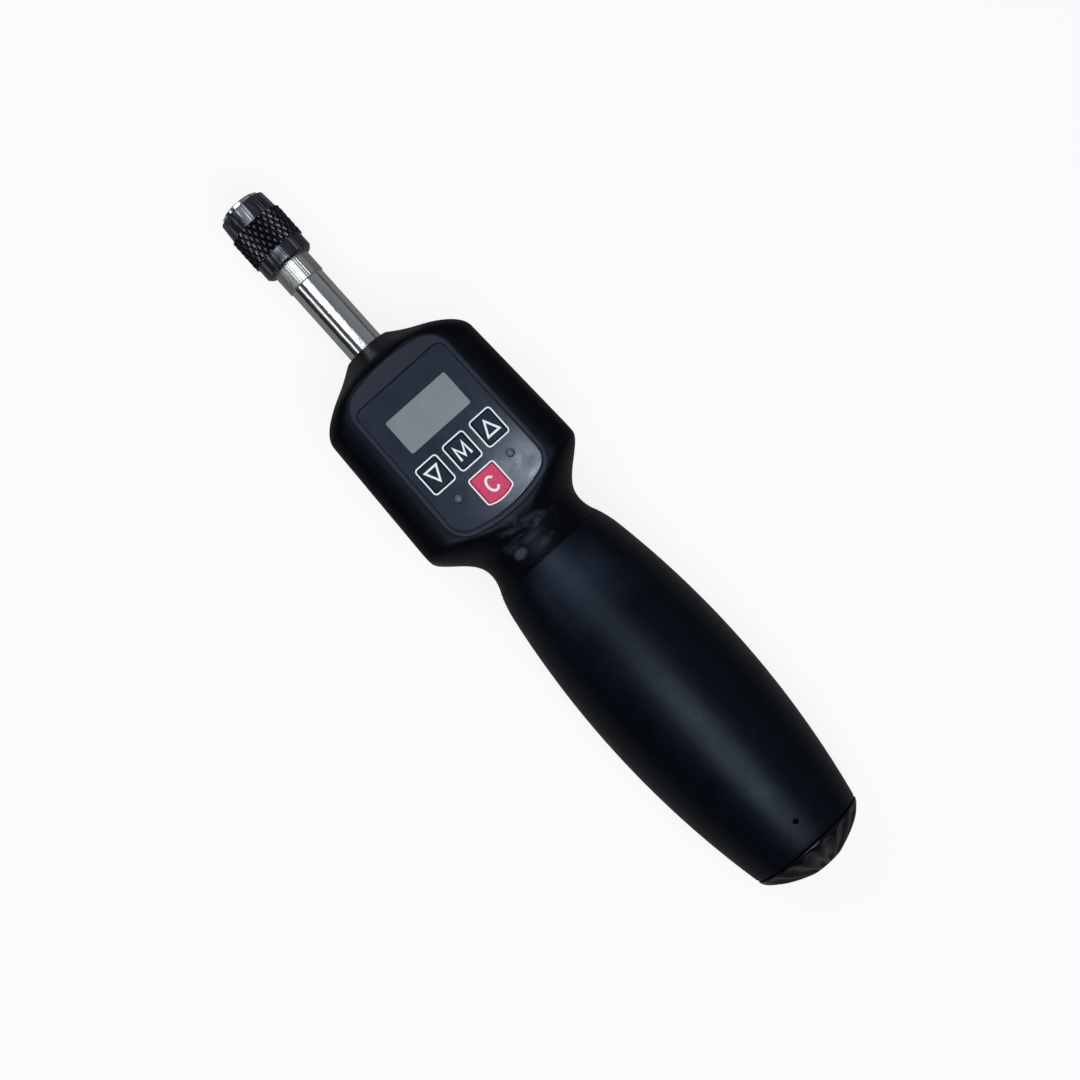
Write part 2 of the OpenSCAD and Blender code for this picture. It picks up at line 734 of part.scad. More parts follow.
// Outline of the clear key, whose rear side is bowed
module clear_outline(grow) {
    bow_r = (pow(clear_w / 2, 2) + pow(clear_bow, 2)) / (2 * clear_bow);
    round_corners(key_corner_r, $fn = 24) offset(delta = grow) intersection() {
        translate([-clear_s - clear_len, -clear_w / 2]) square([clear_len, clear_w]);
        translate([-clear_s - clear_len + bow_r, 0]) circle(r = bow_r, $fn = 96);
    }
}

module chuck_body() {
    color("silver") difference() {
        union() {
            rod(chuck_chamfer, step_s, nose_r);
            along(0) cylinder(h = chuck_chamfer, r1 = nose_r - chuck_chamfer, r2 = nose_r);
            rod(step_s, chuck_len - step_s - chuck_chamfer, chuck_r);
            along(chuck_len - chuck_chamfer)
                cylinder(h = chuck_chamfer, r1 = chuck_r, r2 = chuck_r - chuck_chamfer);
        }
        hex_rod(-over, socket_depth + over, hex_r);
        rod(socket_depth - over, chuck_len, spigot_r + seat_fit);
        pipe(ring_s, ring_w, chuck_r, nose_r - ring_depth);
        translate([-ball_s, 0, 0]) cylinder(h = chuck_r, r = ball_hole_r);
    }
}

module detent_ball() {
    color("gainsboro") translate([-ball_s, 0, ball_z]) sphere(r = ball_r);
}

// Diamond points of the knurl: peaks and valleys take turns round and along it. The ring
// that carries them reaches half way into the sleeve's wall.
module knurl() {
    n = 2 * knurl_n;
    inner_r = (band_r + pocket_r) / 2;
    ring = function(r, z) [for (i = [0:n - 1]) let (a = 360 * i / n) [r * cos(a), r * sin(a), z]];
    diamonds = [for (j = [0:knurl_rows]) for (i = [0:n - 1]) let (
        r = (i + j) % 2 == 0 ? knurl_r : knurl_r - knurl_depth, a = 360 * i / n)
        [r * cos(a), r * sin(a), knurl_len * j / knurl_rows]];
    points = concat(diamonds, ring(inner_r, knurl_len), ring(inner_r, 0));
    rings = knurl_rows + 3;
    faces = [for (j = [0:rings - 1]) for (i = [0:n - 1]) let (
        k = (i + 1) % n, m = (j + 1) % rings,
        a = j * n + i, b = j * n + k, c = m * n + i, d = m * n + k)
        for (f = (i + j) % 2 == 0 ? [[a, c, b], [b, c, d]] : [[a, d, b], [a, c, d]]) f];
    polyhedron(points = points, faces = faces, convexity = 4);
}

module release_sleeve() {
    front = sleeve_s + front_band;
    rear = sleeve_s + sleeve_len;
    color([0.1, 0.1, 0.11]) union() {
        along(0) rotate_extrude() polygon([
            [pocket_r, sleeve_s], [band_r - band_taper, sleeve_s],
            [band_r, front - sleeve_chamfer], [band_r, rear - sleeve_chamfer],
            [band_r - sleeve_chamfer, rear], [rear_bore_r, rear],
            [rear_bore_r, rear_bore_s], [pocket_r, rear_bore_s], [pocket_r, ramp_end],
            [land_r, land_end], [land_r, land_start], [pocket_r, land_start]]);
        along(front) knurl();
    }
}

module sleeve_spring() {
    color("gray") along(spring_s) coil(spring_r, spring_len, spring_turns, spring_wire);
}

module sleeve_washer() {
    color("silver") pipe(washer_s, washer_t, pocket_r - washer_fit, nose_r + run_fit);
}

module snap_ring() {
    color("silver") difference() {
        pipe(ring_s + seat_fit, ring_w - 2 * seat_fit, nose_r + ring_rise,
            nose_r - ring_depth + seat_fit);
        translate([-washer_s, -ring_split / 2, -chuck_r - ring_rise])
            cube([washer_s + over, ring_split, chuck_r]);
    }
}

module bit_magnet() {
    color("dimgray") rod(socket_depth + slip_fit, magnet_t, magnet_r);
}

module drive_shaft() {
    color("lightgray") union() {
        rod(spigot_s, chuck_len, spigot_r);
        rod(chuck_len, shaft_end - chuck_len, shaft_r);
    }
}

module shaft_bushing() {
    color("peru") pipe(head_s + nose_lip, bushing_len, bushing_r, shaft_r + slip_fit);
}

module torque_sensor() {
    color("silver") difference() {
        union() {
            rod(sensor_s, sensor_socket, sensor_r);
            intersection() {
                rod(gauge_s - over, gauge_len + 2 * over, gauge_r);
                block(gauge_s - over, gauge_len + 2 * over, sensor_r * 2, -gauge_flat,
                    2 * gauge_flat);
            }
            rod(tail_s, tail_len + over, tail_r);
            intersection() {
                rod(flange_s, flange_len, flange_r);
                block(flange_s - over, flange_len + 2 * over, 2 * flange_flat, -flange_r,
                    2 * flange_r);
            }
        }
        rod(sensor_s - over, shaft_depth + slip_fit + over, shaft_r + seat_fit);
        set_screw_holes(sensor_r + over, screw_r + seat_fit);
    }
}

// Two radial holes, or the screws in them, from the shaft outwards
module set_screw_holes(len, r) {
    for (side = [-1, 1]) translate([-sensor_s - shaft_depth / 2, 0, 0])
        rotate([-90 * side, 0, 0]) translate([0, 0, shaft_r + seat_fit])
            cylinder(h = len - shaft_r - seat_fit, r = r);
}

module sensor_set_screws() {
    color("dimgray") set_screw_holes(sensor_r - seat_fit, screw_r);
}

module strain_gauges() {
    color("goldenrod") for (z = [gauge_flat, -gauge_flat - pad_t])
        block(pad_s, pad_len, pad_w, z, pad_t);
}

module sensor_leads() {
    color("darkorange") block(pad_s + pad_len / 2, pad_t * 3, pad_w, gauge_flat + pad_t,
        board_z - gauge_flat - pad_t);
}

module head_front_shell() {
    color([0.13, 0.14, 0.16]) difference() {
        head_half(false);
        panel(head_top - shell_wall - over, shell_wall + 2 * over)
            offset(delta = slip_fit * 2 - skirt_in) bezel_outline();
        for (p = screw_places) translate(p - [0, 0, over])
            cylinder(h = screw_reach + 2 * over, r = screw_r + seat_fit);
    }
}

module head_back_shell() {
    color([0.13, 0.14, 0.16]) mirror([0, 0, 1]) union() {
        difference() {
            head_half(true);
            for (p = screw_places) {
                translate(p - [0, 0, over])
                    cylinder(h = head_back + 2 * over, r = screw_r + slip_fit);
                translate(p + [0, 0, head_back - screw_sink - screw_head_t])
                    cylinder(h = screw_sink + screw_head_t + over, r = screw_head_r + slip_fit);
            }
        }
        block(tube_s - over / 2, tube_flange_t + over, tube_key_w - 2 * slip_fit,
            tube_r + slip_fit, shell_wall);
    }
}

module housing_screws() {
    color("dimgray") for (p = screw_places) translate(p) {
        translate([0, 0, -head_back + screw_sink])
            cylinder(h = screw_head_t, r = screw_head_r);
        translate([0, 0, -head_back + screw_sink])
            cylinder(h = head_back - screw_sink + screw_reach, r = screw_r);
    }
}

module board_screw_places() {
    for (s = board_screw_s) for (side = [-1, 1])
        translate([-s, side * key_pitch, 0]) children();
}

module display_bezel() {
    color([0.18, 0.2, 0.26]) difference() {
        union() {
            panel(head_top, bezel_rise) bezel_outline();
            panel(board_top, skirt_depth + slip_fit)
                offset(delta = -skirt_in) bezel_outline();
        }
        panel(overlay_z, bezel_rise + over) offset(delta = overlay_gap) overlay_outline();
        block(lcd_s - lcd_end * 2, clear_s - lcd_s + lcd_end, open_y * 2, board_top - over,
            bezel_rise + skirt_depth + 2 * over);
        block(clear_s - over, clear_len + key_flange + over, clear_y * 2, board_top - over,
            bezel_rise + skirt_depth + 2 * over);
        for (side = [-1, 1]) translate([-dot_s, side * dot_y, board_top - over])
            cylinder(h = bezel_rise + skirt_depth + 2 * over, r = dot_r + slip_fit);
        board_screw_places() translate([0, 0, board_top - over])
            cylinder(h = skirt_depth - key_play + over, r = board_hole_r);
    }
}

module keypad_overlay() {
    color([0.16, 0.18, 0.24]) panel(overlay_z, overlay_t) difference() {
        overlay_outline();
        plate(lcd_s - slip_fit, lcd_len + 2 * slip_fit, lcd_w + 2 * slip_fit, slip_fit);
        for (place = [-1:1]) translate([0, place * key_pitch]) key_outline(-key_frame);
        clear_outline(-key_frame);
        for (side = [-1, 1]) translate([-dot_s, side * dot_y])
            circle(r = dot_r + slip_fit);
    }
}

module lcd_lens() {
    color([0.5, 0.53, 0.53]) block(lcd_s, lcd_len, lcd_w, lens_z, lens_t);
}

module lcd_module() {
    color([0.3, 0.33, 0.33]) block(lcd_s - lcd_end, lcd_len + 2 * lcd_end,
        lcd_w + 2 * lcd_side, board_top, lens_z - board_top - key_play);
}

// One key: a cap that stands in the overlay's hole, on a flange under the overlay
module row_key(place) {
    translate([0, place * key_pitch, 0]) {
        panel(key_base, overlay_top + key_rise - key_base) key_outline(-key_frame - key_gap);
        panel(key_base, key_flange_t) key_outline(key_flange - key_frame - key_gap);
    }
}

module key_up() {
    color([0.08, 0.09, 0.12]) row_key(-1);
}

module key_mode() {
    color([0.08, 0.09, 0.12]) row_key(0);
}

module key_down() {
    color([0.08, 0.09, 0.12]) row_key(1);
}

module key_clear() {
    color([0.75, 0.2, 0.3]) union() {
        panel(key_base, overlay_top + key_rise - key_base) clear_outline(-key_frame - key_gap);
        panel(key_base, key_flange_t) clear_outline(key_flange - key_frame - key_gap);
    }
}

module indicator_lenses() {
    color([0.2, 0.22, 0.28]) for (side = [-1, 1])
        translate([-dot_s, side * dot_y, board_top + lamp_h + rib_gap]) {
            cylinder(h = overlay_top - board_top - lamp_h - rib_gap, r = dot_r);
            intersection() {
                translate([0, 0, overlay_top - board_top - lamp_h - rib_gap - dot_r])
                    sphere(r = dot_r * sqrt(2));
                cylinder(h = bezel_z, r = dot_r);
            }
        }
}

module tact_switches() {
    key_mid = key_s + key_len / 2;
    clear_mid = clear_s + clear_len / 2;
    color("silver") for (p = [[key_mid, -key_pitch], [key_mid, 0], [key_mid, key_pitch],
        [clear_mid, 0]]) translate([-p[0], p[1], board_top]) {
        translate([-switch_w / 2, -switch_w / 2, 0])
            cube([switch_w, switch_w, switch_h * switch_share]);
        cylinder(h = switch_h, r = switch_w / 4);
    }
}

module main_board() {
    color("darkgreen") panel(board_z, board_t) difference() {
        plate(board_s, board_len, board_w, board_t);
        board_screw_places() circle(r = board_hole_r);
    }
}

module board_components() {
    color([0.1, 0.1, 0.1]) {
        for (side = [-1, 1]) {
            block_at(pad_s, side * chip_y, chip_w, board_z - chip_h, chip_h);
            block_at(dot_s, side * dot_y, dot_r, board_top, lamp_h);
            block_at(tail_s, side * chip_w, chip_w / 2, board_z - chip_h, chip_h);
        }
    }
}

// A small block centred on a station and a distance from the middle
module block_at(s, y, w, z, h) {
    translate([-s - w / 2, y - w / 2, z]) cube([w, w, h]);
}

module board_screws() {
    color("silver") board_screw_places() {
        translate([0, 0, board_z - board_screw_r])
            cylinder(h = board_screw_r, r = board_screw_r * 2);
        translate([0, 0, board_z - board_screw_r])
            cylinder(h = board_screw_r + board_t + skirt_depth - 2 * key_play,
                r = board_screw_r);
    }
}

module buzzer() {
    color([0.1, 0.1, 0.1]) translate([-buzzer_s, 0, board_z - buzzer_h])
        cylinder(h = buzzer_h, r = buzzer_r);
}

module core_tube() {
    color("darkgray") difference() {
        union() {
            rod(tube_s, tube_end - tube_s, tube_r);
            rod(tube_s, tube_flange_t, tube_flange_r);
        }
        rod(tube_s - over, tube_end - tube_s + 2 * over, tube_in_r);
        block(tube_s - over, tube_flange_t + over, tube_key_w, -tube_flange_r - over,
            tube_flange_r + over - tube_r);
        radial_pin(grip_r, pin_r + seat_fit);
    }
}

// A round pin into the handle from above, down into the wall of the tube
module radial_pin(top, r) {
    translate([-pin_s, -pin_y, tube_in_r + tube_wall / 2])
        cylinder(h = top - tube_in_r - tube_wall / 2, r = r);
}

// The handle's long curve, cut back by a depth, and turned into a solid
module grip_solid(depth, from, to, chamfer) {
    r = grip_r - depth;
    along(grip_s) rotate_extrude($fn = 96) difference() {
        intersection() {
            translate([grip_r - grip_curve, grip_peak])
                circle(r = grip_curve - depth, $fn = 720);
            translate([0, from]) square([r + over, to - from]);
        }
        for (edge = [[from, grip_front_r, 1 / grip_front_slope], [to, grip_end_r, -1]])
            polygon([[edge[1] - chamfer, edge[0]], [edge[1] + over, edge[0]],
                [edge[1] + over, edge[0] + edge[2] * (chamfer + over)]]);
    }
}

module handle_body() {
    color([0.12, 0.12, 0.13]) difference() {
        grip_solid(rubber_t + slip_fit, 0, grip_len, 0);
        rod(grip_s - over, grip_len + 2 * over, tube_r + slip_fit);
        radial_pin(grip_r, pin_r + seat_fit);
    }
}

module grip_sleeve() {
    color([0.1, 0.11, 0.13]) difference() {
        grip_solid(0, 0, grip_len, grip_chamfer);
        grip_solid(rubber_t, -over, grip_len + over, 0);
        radial_pin(grip_r + over, pin_r + seat_fit);
    }
}

module grip_screw() {
    color("dimgray") radial_pin(pin_top - pin_sink, pin_r);
}

module battery_holder() {
    color([0.15, 0.15, 0.15]) difference() {
        rod(holder_s, holder_len, holder_r);
        for (side = [-1, 1]) translate([0, side * pocket_y, 0])
            rod(pocket_s, cell_pocket, cell_r + cell_fit);
        block(pocket_s, cell_pocket, 2 * holder_r + over, holder_side, holder_r);
        block(pocket_s + cell_pocket - contact_t - slip_fit, contact_t + slip_fit, 2 * pocket_y,
            -nub_r - slip_fit, 2 * holder_side + nub_r);
    }
}

module cell(side) {
    front = side > 0;
    can_s = pocket_s + contact_t + (front ? coil_len : nub_len);
    translate([0, side * pocket_y, 0]) {
        rod(can_s, cell_len, cell_r);
        rod(front ? can_s + cell_len : can_s - nub_len, nub_len, nub_r);
    }
}

module battery_cell_a() {
    color("goldenrod") cell(-1);
}

module battery_cell_b() {
    color("goldenrod") cell(1);
}

module battery_contacts() {
    color("silver") {
        for (side = [-1, 1]) translate([0, side * pocket_y, 0])
            block(pocket_s, contact_t, contact_w, -contact_drop, contact_drop + holder_side);
        block(pocket_s + cell_pocket - contact_t, contact_t, 2 * pocket_y + contact_w,
            -nub_r, 2 * nub_r + holder_side);
    }
}

module battery_springs() {
    color("lightgray") {
        translate([0, pocket_y, 0]) along(pocket_s + contact_t)
            coil(coil_r, coil_len, coil_turns, coil_wire);
        translate([0, -pocket_y, 0]) along(pocket_s + cell_pocket - contact_t - coil_len)
            coil(coil_r, coil_len, coil_turns, coil_wire);
    }
}

module battery_leads() {
    color("crimson") for (side = [-1, 1]) translate([0, side * pocket_y, lead_z]) union() {
        rod(lead_s, holder_s - lead_s, lead_r);
        translate([-lead_s, 0, 0]) sphere(r = lead_r);
        translate([-lead_s, 0, 0]) cylinder(h = board_z - lead_z, r = lead_r);
    }
}

// Radius of the cap's dome at a share of its length, and the slope of its side there
function dome_r(k) = cap_r - (cap_r - cap_end_r) * pow(k, dome_power);
function dome_slope(k) = (cap_r - cap_end_r) * dome_power * pow(k, dome_power - 1) / cap_len;

// The flutes start behind the seam, deepen towards the end and run out at its flat
function flute(k, a) = flute_depth * smooth(unit(k * 3)) * smooth(unit((1 - k) * 8))
    * (1 - cos(flute_n * a)) / 2;

module dome() {
    n = flute_n * 6;
    points = [for (k = dome_shares) for (i = [0:n - 1]) let (
        a = 360 * i / n, t = dome_slope(k), d = flute(k, a) / sqrt(1 + t * t),
        r = dome_r(k) - d)
        [r * cos(a), r * sin(a), cap_len * k - d * t]];
    polyhedron(points = points, faces = concat(side_faces(len(dome_shares), n),
        end_faces(len(dome_shares), n)), convexity = 4);
}

module battery_cap() {
    groove_s = cap_spigot_s + ring_front;
    color([0.12, 0.12, 0.12]) difference() {
        union() {
            along(cap_s) dome();
            rod(cap_spigot_s, cap_spigot + over / 2, cap_spigot_r);
            rod(tube_end + cap_gap, cap_s - tube_end, tube_r - slip_fit);
        }
        rod(cap_spigot_s - over, cap_spigot + over, cap_spigot_r - cap_wall);
        pipe(groove_s, ring_t + 2 * slip_fit, tube_in_r + over, cap_spigot_r - ring_t);
    }
}

module cap_o_ring() {
    color([0.05, 0.05, 0.05]) pipe(cap_spigot_s + ring_front + slip_fit, ring_t,
        tube_in_r - seat_fit, cap_spigot_r - ring_t + seat_fit);
}

chuck_body();
detent_ball();
release_sleeve();
sleeve_spring();
sleeve_washer();
snap_ring();
bit_magnet();
drive_shaft();
shaft_bushing();
torque_sensor();
sensor_set_screws();
strain_gauges();
sensor_leads();
head_front_shell();
head_back_shell();
housing_screws();
display_bezel();
keypad_overlay();
lcd_lens();
lcd_module();
key_up();
key_mode();
key_down();
key_clear();
indicator_lenses();
tact_switches();
main_board();
board_components();
board_screws();
buzzer();
core_tube();
handle_body();
grip_sleeve();
grip_screw();
battery_holder();
battery_cell_a();
battery_cell_b();
battery_contacts();
battery_springs();
battery_leads();
battery_cap();
cap_o_ring();
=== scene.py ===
"""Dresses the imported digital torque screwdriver: fine shapes, materials, light and camera.

Lengths are in millimetres, but in metres for the camera, the lamps and the floor. A station
s lies at x = -s, as in the frame, so stations grow from the bit's end to the battery cap.
"""
import json
import math

import bmesh
import bpy
from mathutils import Matrix, Vector

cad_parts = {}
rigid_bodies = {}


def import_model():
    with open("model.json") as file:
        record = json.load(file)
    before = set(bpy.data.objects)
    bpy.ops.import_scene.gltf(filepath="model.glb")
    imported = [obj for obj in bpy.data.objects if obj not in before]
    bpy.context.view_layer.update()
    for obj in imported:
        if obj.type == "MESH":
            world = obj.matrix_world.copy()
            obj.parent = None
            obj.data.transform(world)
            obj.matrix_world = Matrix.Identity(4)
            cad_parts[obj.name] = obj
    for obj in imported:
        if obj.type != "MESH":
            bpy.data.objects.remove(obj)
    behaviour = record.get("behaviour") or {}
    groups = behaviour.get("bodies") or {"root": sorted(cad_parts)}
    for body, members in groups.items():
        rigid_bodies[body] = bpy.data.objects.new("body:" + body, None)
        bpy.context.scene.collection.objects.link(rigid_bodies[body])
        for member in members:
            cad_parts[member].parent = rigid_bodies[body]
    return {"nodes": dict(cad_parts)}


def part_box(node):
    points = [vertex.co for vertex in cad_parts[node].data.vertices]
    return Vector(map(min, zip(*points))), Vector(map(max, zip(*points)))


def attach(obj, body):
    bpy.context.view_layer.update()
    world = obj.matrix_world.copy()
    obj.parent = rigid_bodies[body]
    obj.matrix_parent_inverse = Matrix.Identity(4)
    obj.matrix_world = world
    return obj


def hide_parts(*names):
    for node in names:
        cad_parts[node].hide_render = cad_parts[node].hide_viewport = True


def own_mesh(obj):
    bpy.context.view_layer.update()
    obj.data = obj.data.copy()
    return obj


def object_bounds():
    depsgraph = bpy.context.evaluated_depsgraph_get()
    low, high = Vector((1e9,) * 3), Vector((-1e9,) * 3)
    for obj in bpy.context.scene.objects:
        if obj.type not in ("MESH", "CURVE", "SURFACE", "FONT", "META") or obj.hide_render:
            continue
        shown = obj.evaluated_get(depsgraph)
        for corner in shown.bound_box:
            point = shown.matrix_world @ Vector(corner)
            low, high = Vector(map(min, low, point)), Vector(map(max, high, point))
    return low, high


for old in list(bpy.data.objects):
    bpy.data.objects.remove(old)
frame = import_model()
cad_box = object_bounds()
nodes = frame["nodes"]
scene = bpy.context.scene
MM = 0.001


# Numbers

def mix(a, b, k):
    return a + (b - a) * k


def unit(k):
    return max(0.0, min(1.0, k))


def smooth(k):
    return k * k * (3 - 2 * k)


def soft_min(a, b, r):
    """The smaller of two values, rounded over r where they meet."""
    return min(a, b) - max(0.0, r - abs(a - b)) ** 2 / (4 * r)


def turns(count):
    """Evenly spaced angles of one full turn."""
    return [2 * math.pi * i / count for i in range(count)]


# Node trees

class Nodes:
    """Short names for the nodes of one tree, read in object or generated coordinates."""

    def __init__(self, tree, coord="Object"):
        self.tree = tree
        self.coord = self.add("TexCoord").outputs[coord]

    def add(self, kind):
        return self.tree.nodes.new("ShaderNode" + kind)

    def link(self, a, b):
        self.tree.links.new(a, b)

    def noise(self, size, detail=4.0, stretch=(1, 1, 1), rough=0.55):
        """Noise whose blotches are about size millimetres."""
        mapping = self.add("Mapping")
        mapping.inputs["Scale"].default_value = [k / (size * MM) for k in stretch]
        node = self.add("TexNoise")
        node.inputs["Scale"].default_value = 1
        node.inputs["Detail"].default_value = detail
        node.inputs["Roughness"].default_value = rough
        self.link(self.coord, mapping.inputs["Vector"])
        self.link(mapping.outputs["Vector"], node.inputs["Vector"])
        return node.outputs["Fac"]

    def math(self, kind, *values):
        node = self.add("Math")
        node.operation = kind
        for i, value in enumerate(values):
            if isinstance(value, (int, float)):
                node.inputs[i].default_value = value
            else:
                self.link(value, node.inputs[i])
        return node.outputs[0]

    def span(self, value, low, high, to_low, to_high):
        """Maps low..high to to_low..to_high and holds the ends."""
        node = self.add("MapRange")
        self.link(value, node.inputs["Value"])
        for key, number in (("From Min", low), ("From Max", high),
                            ("To Min", to_low), ("To Max", to_high)):
            node.inputs[key].default_value = number
        return node.outputs["Result"]

    def mix(self, factor, a, b):
        """A colour between a and b, each a tuple or a socket."""
        node = self.add("Mix")
        node.data_type = "RGBA"
        self.link(factor, node.inputs[0])
        for index, value in ((6, a), (7, b)):
            if isinstance(value, (tuple, list)):
                node.inputs[index].default_value = (*value, 1)
            else:
                self.link(value, node.inputs[index])
        return node.outputs[2]

    def bump(self, height, distance, strength=1.0, before=None):
        node = self.add("Bump")
        node.inputs["Distance"].default_value = distance * MM
        node.inputs["Strength"].default_value = strength
        self.link(height, node.inputs["Height"])
        if before is not None:
            self.link(before, node.inputs["Normal"])
        return node.outputs["Normal"]

    def axis(self, letter):
        node = self.add("SeparateXYZ")
        self.link(self.coord, node.inputs[0])
        return node.outputs[letter]

    def ray(self, kind):
        return self.add("LightPath").outputs[f"Is {kind} Ray"]


class Finish(Nodes):
    """A Principled material whose sockets can be given one more layer at a time."""

    def __init__(self, name):
        self.mat = bpy.data.materials.new(name)
        self.mat.use_nodes = True
        super().__init__(self.mat.node_tree)
        self.sockets = self.tree.nodes["Principled BSDF"].inputs

    def now(self, key):
        """What feeds a socket so far."""
        return self.sockets[key].links[0].from_socket

    def feed(self, key, value):
        self.link(value, self.sockets[key])

    def roughen(self, height, distance, strength=1.0):
        """Adds a bump over the grain that is there."""
        self.feed("Normal", self.bump(height, distance, strength, self.now("Normal")))

    def paint_over(self, share, color):
        """Mixes a colour into the base colour: print, and painted light and shade."""
        self.feed("Base Color", self.mix(share, self.now("Base Color"), color))


# Camera, lamps, world and floor

# The photograph's view, as a place, what it looks at and the way up
CAMERA_PLACE, CAMERA_TARGET = (-0.1256, 0.021, 0.5826), (-0.1109, -0.0003, 0)
CAMERA_UP, CAMERA_LENS, CAMERA_SENSOR = (0.7445, -0.6677, 0), 79.27, 36
CAMERA_NEAR, CAMERA_FAR = 0.01, 20

WHITE, DAYLIGHT, COOL = (1, 1, 1), (0.92, 0.96, 1.0), (0.72, 0.85, 1.0)
# Name, place, target, size, watts and colour
LAMPS = (
    ("softbox", (-0.32, 0.06, 0.62), (-0.16, 0, 0), (0.38, 0.38), 2.7, DAYLIGHT),
    ("strip", (0.24, 0.08, 0.60), (-0.02, 0, 0), (0.40, 0.42), 1.8, DAYLIGHT),
    ("side", (0.11, 0.62, 0.42), (-0.03, 0, 0), (0.16, 0.16), 0.10, DAYLIGHT),
    ("glint", (-0.070, -0.041, 0.60), (-0.097, -0.009, 0.019), (0.024, 0.020), 0.085, COOL),
)

# The world's light on the -Y side and on the +Y side, and how it rises from the horizon
SKY_COLOR, SKY_LIGHT, SKY_RISE = (0.88, 0.94, 1.0), (0.22, 0.03), (0.03, 0.22)

FLOOR_Z, FLOOR_HALF = cad_box[0][2], 3.0
# How pale the floor is for the camera and for the light that it throws on the tool
FLOOR_PALE, FLOOR_DARK = 0.9, 0.14
# Share of plain white over it for the camera and in reflections
FLOOR_WHITE, FLOOR_MIRRORED = 0.86, 0.06


def look(obj, place, target, up):
    """Puts a camera or a lamp at a place and turns its -Z to the target."""
    place, target, up = Vector(place), Vector(target), Vector(up)
    forward = (target - place).normalized()
    right = forward.cross(up).normalized()
    axes = Matrix((right, right.cross(forward), -forward)).transposed().to_4x4()
    obj.matrix_world = Matrix.Translation(place) @ axes


def place_object(name, data):
    obj = bpy.data.objects.new(name, data)
    scene.collection.objects.link(obj)
    return obj


def make_camera():
    data = bpy.data.cameras.new("camera")
    data.sensor_width = CAMERA_SENSOR
    data.lens = CAMERA_LENS
    data.clip_start = CAMERA_NEAR
    data.clip_end = CAMERA_FAR
    scene.camera = place_object("camera", data)
    look(scene.camera, CAMERA_PLACE, CAMERA_TARGET, CAMERA_UP)


def make_lamps():
    for name, place, target, size, power, color in LAMPS:
        data = bpy.data.lights.new(name, "AREA")
        data.shape = "RECTANGLE"
        data.size, data.size_y = size
        data.energy = power
        data.color = color
        look(place_object(name, data), place, target, (0, 1, 0))


def make_world():
    """A dim sky, dark at the horizon and towards +Y, that the camera sees pale."""
    world = bpy.data.worlds.new("world")
    scene.world = world
    world.use_nodes = True
    n = Nodes(world.node_tree, "Generated")
    light = n.math("MULTIPLY", n.span(n.axis("Y"), -1, 1, *SKY_LIGHT),
                   n.span(n.axis("Z"), *SKY_RISE, 0, 1))
    back = world.node_tree.nodes["Background"]
    back.inputs["Color"].default_value = (*SKY_COLOR, 1)
    n.link(n.math("MAXIMUM", light, n.ray("Camera")), back.inputs["Strength"])


def floor_material():
    mat = bpy.data.materials.new("floor")
    mat.use_nodes = True
    mat.node_tree.nodes.clear()
    n = Nodes(mat.node_tree)
    matte, glow = n.add("BsdfDiffuse"), n.add("Emission")
    blend, out = n.add("MixShader"), n.add("OutputMaterial")
    seen = n.ray("Camera")
    mirrored = n.math("MULTIPLY", n.math("MAXIMUM", n.ray("Glossy"), n.ray("Transmission")),
                      FLOOR_MIRRORED)
    glow.inputs["Color"].default_value = (*WHITE, 1)
    glow.inputs["Strength"].default_value = 1.0
    n.link(n.span(seen, 0, 1, FLOOR_DARK, FLOOR_PALE), matte.inputs["Color"])
    n.link(n.math("MULTIPLY_ADD", seen, FLOOR_WHITE, mirrored), blend.inputs["Fac"])
    n.link(matte.outputs[0], blend.inputs[1])
    n.link(glow.outputs[0], blend.inputs[2])
    n.link(blend.outputs[0], out.inputs["Surface"])
    return mat


def make_floor():
    """A pale floor just under the tool, which keeps the tool's shadow."""
    data = bpy.data.meshes.new("floor")
    data.from_pydata([(-FLOOR_HALF, -FLOOR_HALF, FLOOR_Z), (FLOOR_HALF, -FLOOR_HALF, FLOOR_Z),
                      (FLOOR_HALF, FLOOR_HALF, FLOOR_Z), (-FLOOR_HALF, FLOOR_HALF, FLOOR_Z)],
                     [], [(0, 1, 2, 3)])
    floor = place_object("floor", data)
    data.materials.append(floor_material())


# Materials

# Stretch of a grain that runs along the drive axis or round it
ALONG, AROUND, DRAWN, TURNED = (0.06, 1, 1), (1, 0.08, 0.08), (0.35, 1, 1), (0.004, 1, 1)
# Tint of the sheen on black mouldings
SKY = (0.62, 0.78, 1.0)

